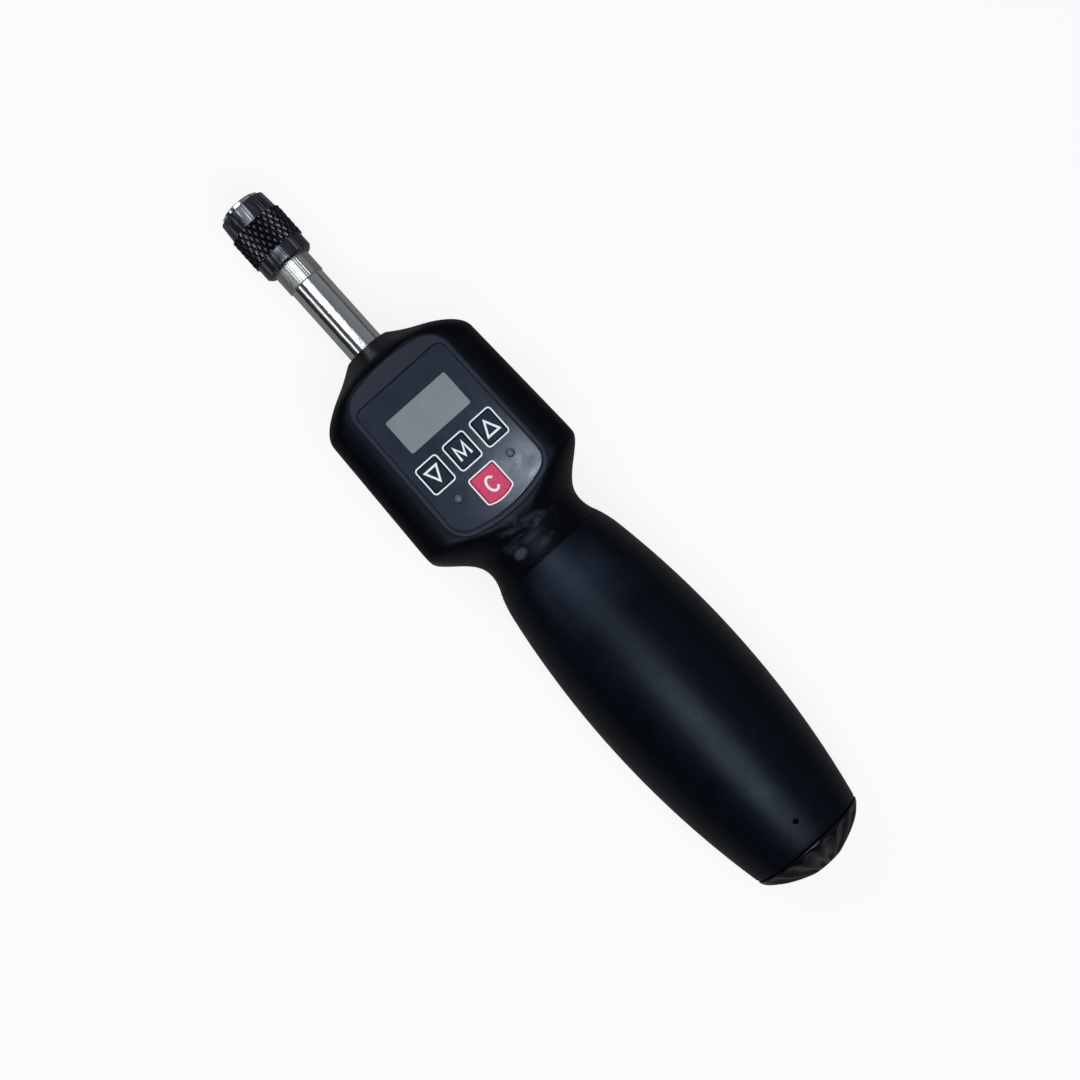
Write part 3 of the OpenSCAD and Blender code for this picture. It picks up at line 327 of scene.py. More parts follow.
FINISHES = {
    "satin_steel": dict(color=(0.66, 0.655, 0.63), rough=0.33, metal=1, vary=0.06, grain=0.12,
                        stretch=AROUND),
    "chrome": dict(color=(0.86, 0.86, 0.86), rough=0.12, metal=1, vary=0.05, grain=0.35,
                   depth=0.011, stretch=DRAWN),
    "hard_steel": dict(color=(0.55, 0.55, 0.56), rough=0.2, metal=1, vary=0.05, patch=2,
                       grain=0.2, depth=0.003),
    "magnet": dict(color=(0.25, 0.25, 0.26), rough=0.35, metal=1, patch=2, grain=0.2),
    "bronze": dict(color=(0.52, 0.33, 0.16), rough=0.35, metal=1, patch=2, grain=0.2,
                   stretch=AROUND),
    "sensor_steel": dict(color=(0.5, 0.51, 0.52), rough=0.3, metal=1, vary=0.06, patch=4,
                         grain=0.2, stretch=AROUND),
    "dark_screws": dict(color=(0.03, 0.03, 0.033), rough=0.4, metal=0.6, vary=0.15, patch=2,
                        gloss_vary=0.08, grain=0.2, depth=0.006),
    "lead_red": dict(color=(0.42, 0.02, 0.02), rough=0.4, vary=0.08),
    "lead_film": dict(color=(0.5, 0.24, 0.05), rough=0.35, patch=2, stretch=ALONG),
    "black_sleeve": dict(color=(0.060, 0.061, 0.074), rough=0.22, metal=0.85, vary=0.25,
                         patch=2, gloss_vary=0.07, grain=0.15, depth=0.006),
    "bezel_plastic": dict(color=(0.015, 0.018, 0.030), rough=0.36, patch=8, grain=0.22,
                          depth=0.020, specular=0.14, tint=(0.84, 0.9, 1.0)),
    "overlay_film": dict(color=(0.019, 0.025, 0.040), rough=0.12, patch=7, gloss_vary=0.03,
                         grain=0.22, depth=0.002, specular=0.2),
    "lcd_glass": dict(color=(0.205, 0.228, 0.236), rough=0.16, vary=0.05, patch=5,
                      gloss_vary=0.04, grain=0.5, depth=0.002, specular=0.25),
    "lcd_frame": dict(color=(0.12, 0.13, 0.13), rough=0.4, vary=0.08, patch=4),
    "key_black": dict(color=(0.004, 0.006, 0.011), rough=0.24, vary=0.15, gloss_vary=0.06,
                      depth=0.010, specular=0.22, tint=SKY),
    "key_red": dict(color=(0.60, 0.024, 0.095), rough=0.28, vary=0.08, depth=0.006,
                    specular=0.3),
    "print_white": dict(color=(0.80, 0.81, 0.84), rough=0.42, vary=0.04, patch=2, grain=0.15,
                        depth=0.003),
    "lens_dark": dict(color=(0.085, 0.095, 0.125), rough=0.40, patch=2, gloss_vary=0.04,
                      specular=0.4),
    "switch_metal": dict(color=(0.6, 0.6, 0.6), rough=0.3, metal=1, vary=0.06, patch=2,
                         grain=0.2, depth=0.003),
    "board_green": dict(color=(0.010, 0.085, 0.030), rough=0.35, vary=0.2, patch=2.5,
                        grain=0.4, depth=0.01, coat=0.4, coat_rough=0.15),
    "chip_black": dict(color=(0.014, 0.014, 0.015), rough=0.5, vary=0.15, patch=2,
                       gloss_vary=0.06, grain=0.15, depth=0.006),
    "tube_aluminium": dict(color=(0.56, 0.57, 0.58), rough=0.3, metal=1, vary=0.05, patch=6,
                           stretch=AROUND),
    "handle_plastic": dict(color=(0.02, 0.02, 0.022), rough=0.5, patch=6, depth=0.01),
    "contact_metal": dict(color=(0.62, 0.58, 0.5), rough=0.25, metal=1, vary=0.06, patch=2,
                          grain=0.2),
    "cap_plastic": dict(color=(0.0015, 0.0016, 0.0022), rough=0.17, vary=0.2, patch=4,
                        grain=0.25, depth=0.006, specular=0.34),
    "black_oxide": dict(color=(0.001, 0.001, 0.0012), rough=0.6, vary=0.15, patch=1,
                        grain=0.15, depth=0.006, specular=0.02),
    "seal_rubber": dict(color=(0.012, 0.012, 0.012), rough=0.55, patch=2, gloss_vary=0.06,
                        grain=0.2, depth=0.008),
    "grip_rubber": dict(color=(0.0014, 0.0020, 0.0040), rough=0.38, vary=0.22, patch=14,
                        grain=0.35, depth=0.012, specular=0.17, tint=SKY),
    "shell_plastic": dict(color=(0.0014, 0.0016, 0.0026), rough=0.38, vary=0.2, patch=10,
                          depth=0.012, specular=0.12, tint=SKY),
    "cell_wrap": dict(color=(0.02, 0.02, 0.022), rough=0.3, metal=0.2, patch=4),
}

# Range of a noise that counts as its darkest and its lightest
NOISE_LOW, NOISE_HIGH = 0.3, 0.7
# How much finer the uneven gloss is than the blotches of colour
GLOSS_FINER = 2.5

mats = {}


def finish(name, color, rough, metal=0.0, vary=0.1, patch=3, gloss_vary=0.05, grain=0.3,
           depth=0.004, stretch=(1, 1, 1), specular=0.5, coat=0.0, coat_rough=0.1,
           tint=WHITE):
    """A material with blotches in its colour, uneven gloss and a fine grain. vary is the
    share by which the colour varies; patch, grain and depth are in millimetres."""
    n = Finish(name)
    blotch = n.span(n.noise(patch, 5, stretch), NOISE_LOW, NOISE_HIGH, 0, 1)
    dark = tuple(c * (1 - vary) for c in color)
    light = tuple(min(1, c * (1 + vary)) for c in color)
    n.feed("Base Color", n.mix(blotch, dark, light))
    uneven = n.noise(patch / GLOSS_FINER, 4, stretch)
    n.feed("Roughness", n.span(uneven, NOISE_LOW, NOISE_HIGH, rough - gloss_vary,
                               rough + gloss_vary))
    n.feed("Normal", n.bump(n.noise(grain, 3, stretch), depth))
    for key, value in (("Metallic", metal), ("Specular IOR Level", specular),
                       ("Specular Tint", (*tint, 1)), ("Coat Weight", coat),
                       ("Coat Roughness", coat_rough)):
        n.sockets[key].default_value = value
    return n


def turned_lines(n):
    """Fine uneven lines along the axis, as a turned and polished surface has."""
    n.roughen(n.noise(0.5, 1, TURNED), 0.30)


def sleeve_painted_light(n):
    """Painted highlight streaks along the sleeve's bands, and painted shade in the grooves of its
    knurl.
    """
    ahead = n.math("GREATER_THAN", n.axis("X"), -KNURL_S * MM)
    behind = n.math("LESS_THAN", n.axis("X"), -KNURL_END * MM)
    band = n.math("ADD", ahead, behind)
    # Painted reflection: lighter streaks along the polished bands stand in for reflected light.
    line = n.span(n.noise(0.62, 1, TURNED), 0.52, 0.66, 0, 1)
    n.paint_over(n.math("MULTIPLY", band, line), (0.30, 0.31, 0.34))
    y, z = n.axis("Y"), n.axis("Z")
    far = n.math("SQRT", n.math("ADD", n.math("MULTIPLY", y, y), n.math("MULTIPLY", z, z)))
    # Painted shade: the knurl is painted near black towards the bottom of its grooves.
    deep = n.span(far, (KNURL_R + 0.08) * MM, (KNURL_R + 0.36) * MM, 1, 0)
    n.paint_over(n.math("MULTIPLY", deep, n.math("SUBTRACT", 1.0, band)), (0.004, 0.004, 0.006))


def grip_nicks_and_sheen(n):
    """Small nicks in the grip's skin, and a painted sheen on its upper side near the head."""
    nick = n.span(n.noise(2.2, 2, (0.5, 1, 1)), 0.735, 0.77, 0, 1)
    n.roughen(nick, 0.05, 0.7)
    # Painted sheen: a lighter blue on the upper side near the head stands in for the light
    # reflected there.
    sheen_end, sheen_full, sheen_low, sheen_high = 137, 121, 13.5, 18
    ahead = n.span(n.axis("X"), -sheen_end * MM, -sheen_full * MM, 0, 1)
    upper = n.span(n.axis("Z"), sheen_low * MM, sheen_high * MM, 0, 1)
    sheen_cloud = n.span(n.noise(9, 4, rough=0.6), 0.3, 0.62, 0.45, 1)
    n.paint_over(n.math("MULTIPLY", n.math("MULTIPLY", ahead, upper), sheen_cloud), (0.012, 0.017, 0.030))


def polish_highlight_patch(n, place, reach, low):
    """Share of polish and of painted highlight round a place on the upper side, broken up by a
    coarse noise that counts from low upwards."""
    off = [n.math("MULTIPLY", n.math("ADD", n.axis(letter), -middle * MM), 1 / (far * MM))
           for letter, middle, far in zip("XY", place, reach)]
    away = n.math("ADD", *(n.math("MULTIPLY", d, d) for d in off))
    near = n.math("MULTIPLY", n.span(away, 0.1, 1.0, 1, 0),
                  n.span(n.axis("Z"), 9 * MM, 12 * MM, 0, 1))
    patch = n.span(n.noise(4.2, 3, (1.3, 0.7, 1), 0.6), low, low + 0.2, 0, 1)
    return n.math("MULTIPLY", near, patch)


def shell_polish_and_highlight(n):
    """Glossy smudges on the head's neck, where the thumb rests, with a painted highlight over
    them.
    """
    # Polish with a painted highlight where the thumb rests, and a small painted highlight on the
    # neck's flare by the grip.
    polish_and_highlight = n.math("MAXIMUM", polish_highlight_patch(n, (-107.0, 0.5), (6.5, 8.5), 0.50),
                  polish_highlight_patch(n, (-110.6, 5.8), (1.6, 2.0), 0.22))
    polish_and_highlight = n.math("MULTIPLY", polish_and_highlight, n.span(n.noise(0.45, 3), 0.40, 0.62, 0.45, 1))
    n.feed("Roughness", n.math("MULTIPLY_ADD", polish_and_highlight, -0.24, n.now("Roughness")))
    # Painted highlight: the glossy patches are painted a lighter blue.
    n.paint_over(n.math("MULTIPLY", polish_and_highlight, 0.9), (0.062, 0.076, 0.110))


def cell_bands(n):
    """A battery's printed wrap: a copper-coloured band on every black length."""
    band_every, band_share = 50, 0.28
    along = n.math("FRACT", n.math("MULTIPLY", n.axis("X"), 1 / (band_every * MM)))
    n.paint_over(n.math("LESS_THAN", along, band_share), (0.45, 0.24, 0.09))


# Extra layers of some finishes: real turning lines, nicks, polish and print, and painted light
# and shade on the sleeve, grip and shell.
WEAR_AND_PAINTED_LIGHT = {"satin_steel": turned_lines, "black_sleeve": sleeve_painted_light, "grip_rubber": grip_nicks_and_sheen,
        "shell_plastic": shell_polish_and_highlight, "cell_wrap": cell_bands}


def make_materials():
    for name, values in FINISHES.items():
        mats[name] = finish(name, **values)
    for name, marks_and_light in WEAR_AND_PAINTED_LIGHT.items():
        marks_and_light(mats[name])


# Mesh helpers

def add_piece(name, data, mat, body, replaced=(), sharp=38):
    """Puts a mesh into the scene as a piece on a body. Edges over sharp degrees stay crisp."""
    obj = place_object(name, data)
    data.materials.clear()
    data.materials.append(mats[mat].mat)
    for polygon in data.polygons:
        polygon.use_smooth = True
    data.set_sharp_from_angle(angle=math.radians(sharp))
    weigh = obj.modifiers.new("weigh", "WEIGHTED_NORMAL")
    weigh.keep_sharp = True
    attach(obj, body)
    if replaced:
        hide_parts(*replaced)
    return obj


def mesh_from(name, points, faces):
    """A mesh from points in millimetres, with its faces turned outwards."""
    data = bpy.data.meshes.new(name)
    data.from_pydata([[c * MM for c in p] for p in points], [], faces)
    data.validate()
    bm = bmesh.new()
    bm.from_mesh(data)
    bmesh.ops.recalc_face_normals(bm, faces=bm.faces)
    bm.to_mesh(data)
    bm.free()
    return data


def ring_mesh(name, rings, ends=False):
    """A band of rings, each a closed loop of the same number of points. It closes on itself
    or, with ends, is shut by a flat face at each end."""
    n, m = len(rings[0]), len(rings)
    points = [p for loop in rings for p in loop]
    faces = [(j * n + i, j * n + (i + 1) % n, (j + 1) % m * n + (i + 1) % n, (j + 1) % m * n + i)
             for j in range(m - 1 if ends else m) for i in range(n)]
    if ends:
        faces += [tuple(range(n)), tuple(range(m * n - n, m * n))]
    return mesh_from(name, points, faces)


def ring(s, r, count):
    """A circle round the drive axis."""
    return [(-s, r * math.cos(t), r * math.sin(t)) for t in turns(count)]


def cut(data, cutter, kind="DIFFERENCE"):
    """The mesh after a boolean with another mesh."""
    a = place_object("cut_a", data)
    b = place_object("cut_b", cutter)
    mod = a.modifiers.new("cut", "BOOLEAN")
    mod.object = b
    mod.operation = kind
    mod.solver = "EXACT"
    bpy.context.view_layer.update()
    graph = bpy.context.evaluated_depsgraph_get()
    result = bpy.data.meshes.new_from_object(a.evaluated_get(graph))
    for obj in (a, b):
        bpy.data.objects.remove(obj)
    result.name = data.name
    return result


def prism(loops, low, high):
    """Closed prisms over loops of (x, y) points, between two heights."""
    points, faces = [], []
    for loop in loops:
        n, start = len(loop), len(points)
        points += [(x, y, low) for x, y in loop] + [(x, y, high) for x, y in loop]
        faces.append(tuple(start + i for i in reversed(range(n))))
        faces.append(tuple(start + n + i for i in range(n)))
        faces += [(start + i, start + (i + 1) % n, start + n + (i + 1) % n, start + n + i)
                  for i in range(n)]
    return mesh_from("prism", points, faces)


def disc(x, y, r, n=40):
    return [(x + r * math.cos(t), y + r * math.sin(t)) for t in turns(n)]


def discs(r, n=40):
    """A disc at each housing screw."""
    return [disc(x, y, r, n) for x, y in SCREWS]


def plate(name, outer, holes, low, high, bevel, mat, body, replaced=(), lower=()):
    """A flat plate with softened upper edges. outer and each of holes give the loop for a
    distance inwards from the plate's edge; lower adds (distance, height) rows underneath."""
    rows = [(bevel, high), (bevel * 0.3, high - bevel * 0.3), (0, high - bevel), *lower]
    rows.append((rows[-1][0], low))
    bm = bmesh.new()
    tops, bottoms = [], []
    for k, loop in enumerate([outer, *holes]):
        sign = -1 if k else 1
        before = None
        for inset, z in rows:
            verts = [bm.verts.new((x * MM, y * MM, z * MM)) for x, y in loop(sign * inset)]
            after = verts[1:] + verts[:1]
            edges = [bm.edges.new(pair) for pair in zip(verts, after)]
            if before:
                for a, b, c, d in zip(before, before[1:] + before[:1], after, verts):
                    bm.faces.new((a, b, c, d))
            else:
                tops += edges
            before = verts
        bottoms += edges
    bmesh.ops.triangle_fill(bm, use_beauty=True, edges=tops, normal=(0, 0, 1))
    bmesh.ops.triangle_fill(bm, use_beauty=True, edges=bottoms, normal=(0, 0, -1))
    bmesh.ops.recalc_face_normals(bm, faces=bm.faces)
    data = bpy.data.meshes.new(name)
    bm.to_mesh(data)
    bm.free()
    return add_piece(name, data, mat, body, replaced, 12)


# Head and grip, from the same formulas as the frame. u is the distance behind the nose.

HEAD_S, BODY, WAIST, NECK = 47.6, 47.0, 14.0, 6.4
HEAD_LEN = BODY + WAIST + NECK
NOSE_R, NOSE_CONE, NOSE_ROUND, NOSE_RISE, RISE_ROUND = 6.32, 10.8, 4.0, 8.2, 3.0
NECK_R, TOP, BACK, CORNER, WALL = 14.4, 17.5, 20.75, 8.0, 2.4
FRONT_W, REAR_W = 43.7, 47.0
# The sides hold their width a little longer than the back, and then fall faster
SHOULDER, WAIST_END, WAIST_POWER, FLARE_START = 49.0, 62.5, 1.3, 62.0
# Height of the seam between the shells, and its depth
SEAM, SEAM_DEPTH = 0.14, 0.14
# Bore round the shaft, seat of its bushing and seat of the grip's core
SHAFT_BORE, BUSHING_R, BUSHING_U, BUSHING_END, CORE_R, CORE_U = 5.2, 5.52, 0.8, 8.0, 13.05, 53.9
# First place, step and count of the head's rows, which are closer where it bends
OUTER_ROWS = ((0.45, 0.45, 34), (15.6, 1.93, 16), (46.4, 0.5, 32), (62.3, 0.4, 13))
INNER_ROWS = (CORE_U, 52, 50, 48, 47, 40, 30, 20, 14.8, 11.2, BUSHING_END)

# Housing screws, with the radii of boss, head hole and screw hole
SCREWS = [(-HEAD_S - u, y) for u in (14.4, 45.4) for y in (-17.0, 17.0)]
BOSS_R, SCREW_HEAD_R, SCREW_HOLE_R = 2.85, 2.55, 1.3
BOSS_LOW, BOSS_HIGH, HEAD_HOLE_END = -19.5, -0.2, -14.75
# Height from which the upper side is cut, and how far a cutter passes what it cuts
CUT_LOW, CUT_OVER = 10.0, 1.25

GRIP_S, GRIP_LEN, GRIP_R, GRIP_DROP = 115.1, 93.4, 20.75, 5.04
GRIP_PEAK, GRIP_SKIN, GRIP_STEP, GRIP_LIP = GRIP_LEN * 0.4818, 2.0, 0.5, 0.5
GRIP_CURVE = ((GRIP_LEN - GRIP_PEAK) ** 2 + GRIP_DROP ** 2) / (2 * GRIP_DROP)
# The small hole over the grip's screw
HOLE_X, HOLE_Y, HOLE_R = -201.5, -0.3, 0.77


def grip_radius(s, depth=0.0):
    """Radius of the grip's long curve at a station."""
    d = s - GRIP_S - GRIP_PEAK
    return GRIP_R - GRIP_CURVE + math.sqrt((GRIP_CURVE - depth) ** 2 - d * d)


GRIP_FRONT, FRONT_SLOPE = grip_radius(GRIP_S) - GRIP_STEP, 0.36
NECK_FLARE = GRIP_FRONT - NECK_R


def waist(u, start, power=1.0):
    """How far the head has narrowed to its neck, from 0 to 1."""
    return smooth(1 - (1 - unit((u - start) / (WAIST_END - start))) ** power)


def flare(u):
    """What the neck widens by towards the grip."""
    return NECK_FLARE * unit((u - FLARE_START) / (HEAD_LEN - FLARE_START)) ** 2


def cone(u, length):
    return NOSE_R + (FRONT_W / 2 - NOSE_R) / length * u


def half_w(u):
    side = mix(FRONT_W, REAR_W, min(u / BODY, 1)) / 2
    full = soft_min(cone(u, NOSE_CONE), side, NOSE_ROUND)
    return flare(u) + mix(full, NECK_R, waist(u, SHOULDER, WAIST_POWER))


def half_h(u, back):
    top, start = (BACK, BODY) if back else (TOP, BODY + WAIST / 2)
    full = soft_min(cone(u, NOSE_RISE), top, RISE_ROUND)
    return flare(u) + mix(full, NECK_R, waist(u, start))


def squareness(u):
    """0 where the section is an ellipse, 1 where it is a box with round corners."""
    return smooth(unit(u / NOSE_RISE)) * (1 - waist(u, SHOULDER, WAIST_POWER))


def half_section(w, h, r, square, groove, n=22):
    """Half of a section, from one side over the top to the other, with a fine seam groove."""
    side = []
    last = 2 * n + 3
    for step in range(n + 2):
        a = math.pi / 2 * (step - 1) / n
        b = math.pi * step / last
        box = (w - r + r * math.cos(a), h - r + r * math.sin(a)) if step else (w, 0.0)
        side.append((mix(w * math.cos(b), box[0], square), mix(h * math.sin(b), box[1], square)))
    edge = side[0][0]
    side[:1] = [(edge - groove, 0.0), (edge, SEAM)]
    return side + [(-y, z) for y, z in reversed(side)]


def head_rows(back):
    """Rows of one half of the head, in a loop: outside, rear bore, inside and nose bore."""
    def row(u, w, h, r=1.0, square=0.0, groove=0.0):
        return [(-HEAD_S - u, y, -z if back else z)
                for y, z in half_section(w, h, r, square, groove)]

    def outside(u, shrink=0.0):
        return row(u, half_w(u) - shrink, half_h(u, back) - shrink, CORNER, squareness(u),
                   SEAM_DEPTH)

    def inside(u):
        return row(u, half_w(u) - WALL, half_h(u, back) - WALL, CORNER - WALL, squareness(u))

    def bore(u, r):
        return row(u, r, r)

    rows = [bore(BUSHING_U, SHAFT_BORE), bore(0.15, SHAFT_BORE), bore(0.0, SHAFT_BORE + 0.15),
            bore(0.0, NOSE_R - 0.25), outside(0.08, 0.07), outside(0.25)]
    rows += [outside(first + step * i) for first, step, count in OUTER_ROWS
             for i in range(count)]
    rows += [outside(HEAD_LEN - 0.06), outside(HEAD_LEN, 0.06)]
    rows += [bore(HEAD_LEN, CORE_R), bore(CORE_U, CORE_R)]
    rows += [inside(u) for u in INNER_ROWS]
    return rows + [bore(BUSHING_END, BUSHING_R), bore(BUSHING_U, BUSHING_R)]


def head_half(name, back):
    """One shell: its rows joined round the loop, and flat faces where it meets the other."""
    rows = head_rows(back)
    m, n = len(rows), len(rows[0])
    points = [p for row in rows for p in row]
    faces = [(j * n + i, j * n + i + 1, (j + 1) % m * n + i + 1, (j + 1) % m * n + i)
             for j in range(m) for i in range(n - 1)]
    faces.append(tuple(j * n for j in range(m)))
    faces.append(tuple(j * n + n - 1 for j in reversed(range(m))))
    return mesh_from(name, points, faces)


def make_head():
    front = head_half("head_front_shell_fine", False)
    front = cut(front, prism([bezel_loop(BEZEL_SEAT)], CUT_LOW, BEZEL_TOP))
    add_piece("head_front_shell_fine", front, "shell_plastic", "body", ["head_front_shell"])
    back = head_half("head_back_shell_fine", True)
    back = cut(back, prism(discs(BOSS_R), BOSS_LOW, BOSS_HIGH), "UNION")
    back = cut(back, prism(discs(SCREW_HEAD_R), -BACK - CUT_OVER, HEAD_HOLE_END))
    back = cut(back, prism(discs(SCREW_HOLE_R, 24), HEAD_HOLE_END - CUT_OVER, 1.0))
    add_piece("head_back_shell_fine", back, "shell_plastic", "body", ["head_back_shell"])


def make_grip():
    """The grip's skin: a long curve that starts with a straight slope behind the neck."""
    end = GRIP_S + GRIP_LEN
    last = grip_radius(end)
    near, step = 6.6, 0.3
    stations = [GRIP_S + step * i for i in range(1, 22)]
    stations += [mix(GRIP_S + near, end - 0.55, i / 60) for i in range(61)]
    profile = [(GRIP_S, GRIP_FRONT - 0.06)]
    profile += [(s, soft_min(grip_radius(s), GRIP_FRONT + FRONT_SLOPE * (s - GRIP_S), 0.5))
                for s in stations]
    profile += [(end - 0.22, last - 0.1), (end - 0.05, last - 0.3), (end, last - GRIP_LIP)]
    inner = [mix(end, GRIP_S, i / 24) for i in range(25)]
    profile += [(s, grip_radius(s, GRIP_SKIN)) for s in inner]
    data = ring_mesh("grip_sleeve_fine", [ring(s, r, 144) for s, r in profile])
    hole = prism([disc(HOLE_X, HOLE_Y, HOLE_R, 24)], CUT_LOW, GRIP_R + CUT_OVER)
    data = cut(data, hole)
    add_piece("grip_sleeve_fine", data, "grip_rubber", "body", ["grip_sleeve"])


# Outlines of the panel. Each takes a distance inwards.

# Front and rear end of the bezel, and its half width at each
BEZEL_S, BEZEL_END, BEZEL_FRONT_Y, BEZEL_REAR_Y = 54.6, 102.1, 15.0, 15.65
# Radii of its front arc, rear arc and corners, and of the overlay's front corners
FRONT_BOW, REAR_BOW, BEZEL_CORNER, OVERLAY_CORNER = 45.0, 36.0, 6.5, 2.0
# Front edge of the overlay, and its distance inside the bezel elsewhere
OVERLAY_S, BEZEL_RIM = 59.9, 1.6
BEZEL_TOP, OVERLAY_TOP, OVERLAY_LOW = 19.0, 18.7, 17.9
BEZEL_FOOT, BEZEL_LOW, BEZEL_ROUND, BEZEL_SEAT = 17.5, 14.6, 0.6, 1.6

CLEAR_S, CLEAR_LEN, CLEAR_W, CLEAR_BOW, CLEAR_CORNER = 89.41, 8.8, 8.16, 1.0, 0.9
KEY_S, KEY_LEN, KEY_W, KEY_PITCH, KEY_CORNER = 79.21, 8.1, 6.8, 8.54, 1.0
KEYS = [("key_up", -1, "up_key"), ("key_mode", 0, "mode_key"), ("key_down", 1, "down_key")]
LCD_S, LCD_LEN, LCD_W, LCD_CORNER = 66.17, 9.86, 18.73, 0.6
# Middles of the holes over the indicator lamps
DOTS = [(-91.2, y) for y in (-8.25, 8.25)]
# No corner gets sharper than this when its outline shrinks
LEAST_R = 0.05


def arc(cx, cy, r, start, end, n):
    return [(cx + r * math.cos(mix(start, end, i / n)), cy + r * math.sin(mix(start, end, i / n)))
            for i in range(n + 1)]


def side_line(inset):
    """The +Y side of the bezel: a point on it, its direction to the tail and its normal."""
    a, b = Vector((-BEZEL_S, BEZEL_FRONT_Y)), Vector((-BEZEL_END, BEZEL_REAR_Y))
    along = (b - a).normalized()
    normal = Vector((along.y, -along.x))
    return a - normal * inset, along, normal


def side_turn():
    """Angle of the side's normal."""
    normal = side_line(0)[2]
    return math.atan2(normal.y, normal.x)


def fillet(centre_x, swing, r, rear):
    """Middle of a corner that touches the side and an arc round (centre_x, 0)."""
    a, along, _ = side_line(r)
    rel = a - Vector((centre_x, 0))
    half = rel.dot(along)
    root = math.sqrt(half * half - (rel.dot(rel) - swing * swing))
    return a + along * (-half + root if rear else -half - root)


def rear_half(inset):
    """From the side of the panel round its rear corner to the middle, on the +Y side."""
    cx = -BEZEL_END + REAR_BOW
    c = fillet(cx, REAR_BOW - BEZEL_CORNER, BEZEL_CORNER, True)
    end = math.atan2(c.y, c.x - cx)
    tail = arc(cx, 0, REAR_BOW - inset, end, math.pi, 16)
    return arc(c.x, c.y, BEZEL_CORNER - inset, side_turn(), end, 12) + tail[1:]


def mirrored(half):
    """Closes a half outline whose two ends lie on the middle line."""
    return half + [(x, -y) for x, y in reversed(half[1:-1])]


def bezel_loop(inset):
    cx = -BEZEL_S - FRONT_BOW
    c = fillet(cx, FRONT_BOW - BEZEL_CORNER, BEZEL_CORNER, False)
    end = math.atan2(c.y, c.x - cx)
    front = arc(cx, 0, FRONT_BOW - inset, 0, end, 16)
    corner = arc(c.x, c.y, BEZEL_CORNER - inset, end, side_turn(), 12)
    return mirrored(front + corner[1:] + rear_half(inset))


def overlay_loop(inset):
    edge, along, _ = side_line(BEZEL_RIM + OVERLAY_CORNER)
    cx = -OVERLAY_S - OVERLAY_CORNER
    cy = edge.y + along.y / along.x * (cx - edge.x)
    front = [(-OVERLAY_S - inset, cy * i / 16) for i in range(17)]
    corner = arc(cx, cy, OVERLAY_CORNER - inset, 0, side_turn(), 12)
    return mirrored(front + corner[1:] + rear_half(inset + BEZEL_RIM))


def box_loop(s, length, y, width, r):
    """A rectangle with round corners, as an outline that takes a distance inwards."""
    def loop(inset):
        q = max(r - inset, LEAST_R)
        x0, x1 = -s - length + inset + q, -s - inset - q
        y0, y1 = y - width / 2 + inset + q, y + width / 2 - inset - q
        points = []
        for quarter, (cx, cy) in enumerate(((x1, y1), (x0, y1), (x0, y0), (x1, y0))):
            start = quarter * math.pi / 2
            points += arc(cx, cy, q, start, start + math.pi / 2, 6)
        return points
    return loop


def clear_loop(inset):
    """The clear key's outline, whose rear side is bowed."""
    bow = ((CLEAR_W / 2) ** 2 + CLEAR_BOW ** 2) / (2 * CLEAR_BOW)
    x1, y1 = -CLEAR_S - inset, CLEAR_W / 2 - inset
    r = max(CLEAR_CORNER - inset, LEAST_R)
    middle = -CLEAR_S - CLEAR_LEN + bow
    cy = y1 - r
    cx = middle - math.sqrt((bow - inset - r) ** 2 - cy ** 2)
    end = math.atan2(cy, cx - middle)
    half = [(x1, cy * i / 4) for i in range(5)]
    half += arc(x1 - r, cy, r, 0, math.pi / 2, 6)[1:]
    half += arc(cx, cy, r, math.pi / 2, end, 5)
    half += arc(middle, 0, bow - inset, end, math.pi, 8)[1:]
    return mirrored(half)


def key_loop(place):
    return box_loop(KEY_S, KEY_LEN, place * KEY_PITCH, KEY_W, KEY_CORNER)


def shifted(loop, grow):
    return lambda inset: loop(inset + grow)


# Panel and keys

# Gap between bezel and overlay, width of the bezel's inner ledge and of its foot
PANEL_GAP, LEDGE, FOOT = 0.3, 1.2, 1.7
# Insets of the key's hole in the overlay, of the key in its frame, and the frame's width
KEY_HOLE, KEY_INSET, FRAME_W, DOT_R = 0.38, 0.5, 0.36, 1.0
WINDOW_FIT, LENS_LOW = 0.05, 17.75
# Bottom of a key, top of its flange and the flange's width
KEY_LOW, KEY_FLANGE, FLANGE_W = 17.05, 17.85, 0.5
# How far a print stands over its surface and reaches into it
PRINT, PRINT_ROOT = 0.02, 0.01


def make_bezel():
    def at(loop, z):
        return [(x, y, z) for x, y in loop]

    shoulder = BEZEL_TOP - BEZEL_ROUND
    rings = [at(bezel_loop(0), BEZEL_FOOT), at(bezel_loop(0), shoulder)]
    for k in range(1, 6):
        a = math.pi / 2 * k / 5
        rings.append(at(bezel_loop(BEZEL_ROUND * (1 - math.cos(a))),
                        shoulder + BEZEL_ROUND * math.sin(a)))
    rings += [at(overlay_loop(-PANEL_GAP - 0.12), BEZEL_TOP),
              at(overlay_loop(-PANEL_GAP - 0.04), BEZEL_TOP - 0.04),
              at(overlay_loop(-PANEL_GAP), BEZEL_TOP - 0.14),
              at(overlay_loop(-PANEL_GAP), OVERLAY_LOW), at(overlay_loop(LEDGE), OVERLAY_LOW),
              at(overlay_loop(LEDGE), BEZEL_LOW), at(bezel_loop(FOOT), BEZEL_LOW),
              at(bezel_loop(FOOT), BEZEL_FOOT)]
    add_piece("display_bezel_fine", ring_mesh("display_bezel_fine", rings), "bezel_plastic",
              "body", ["display_bezel"])


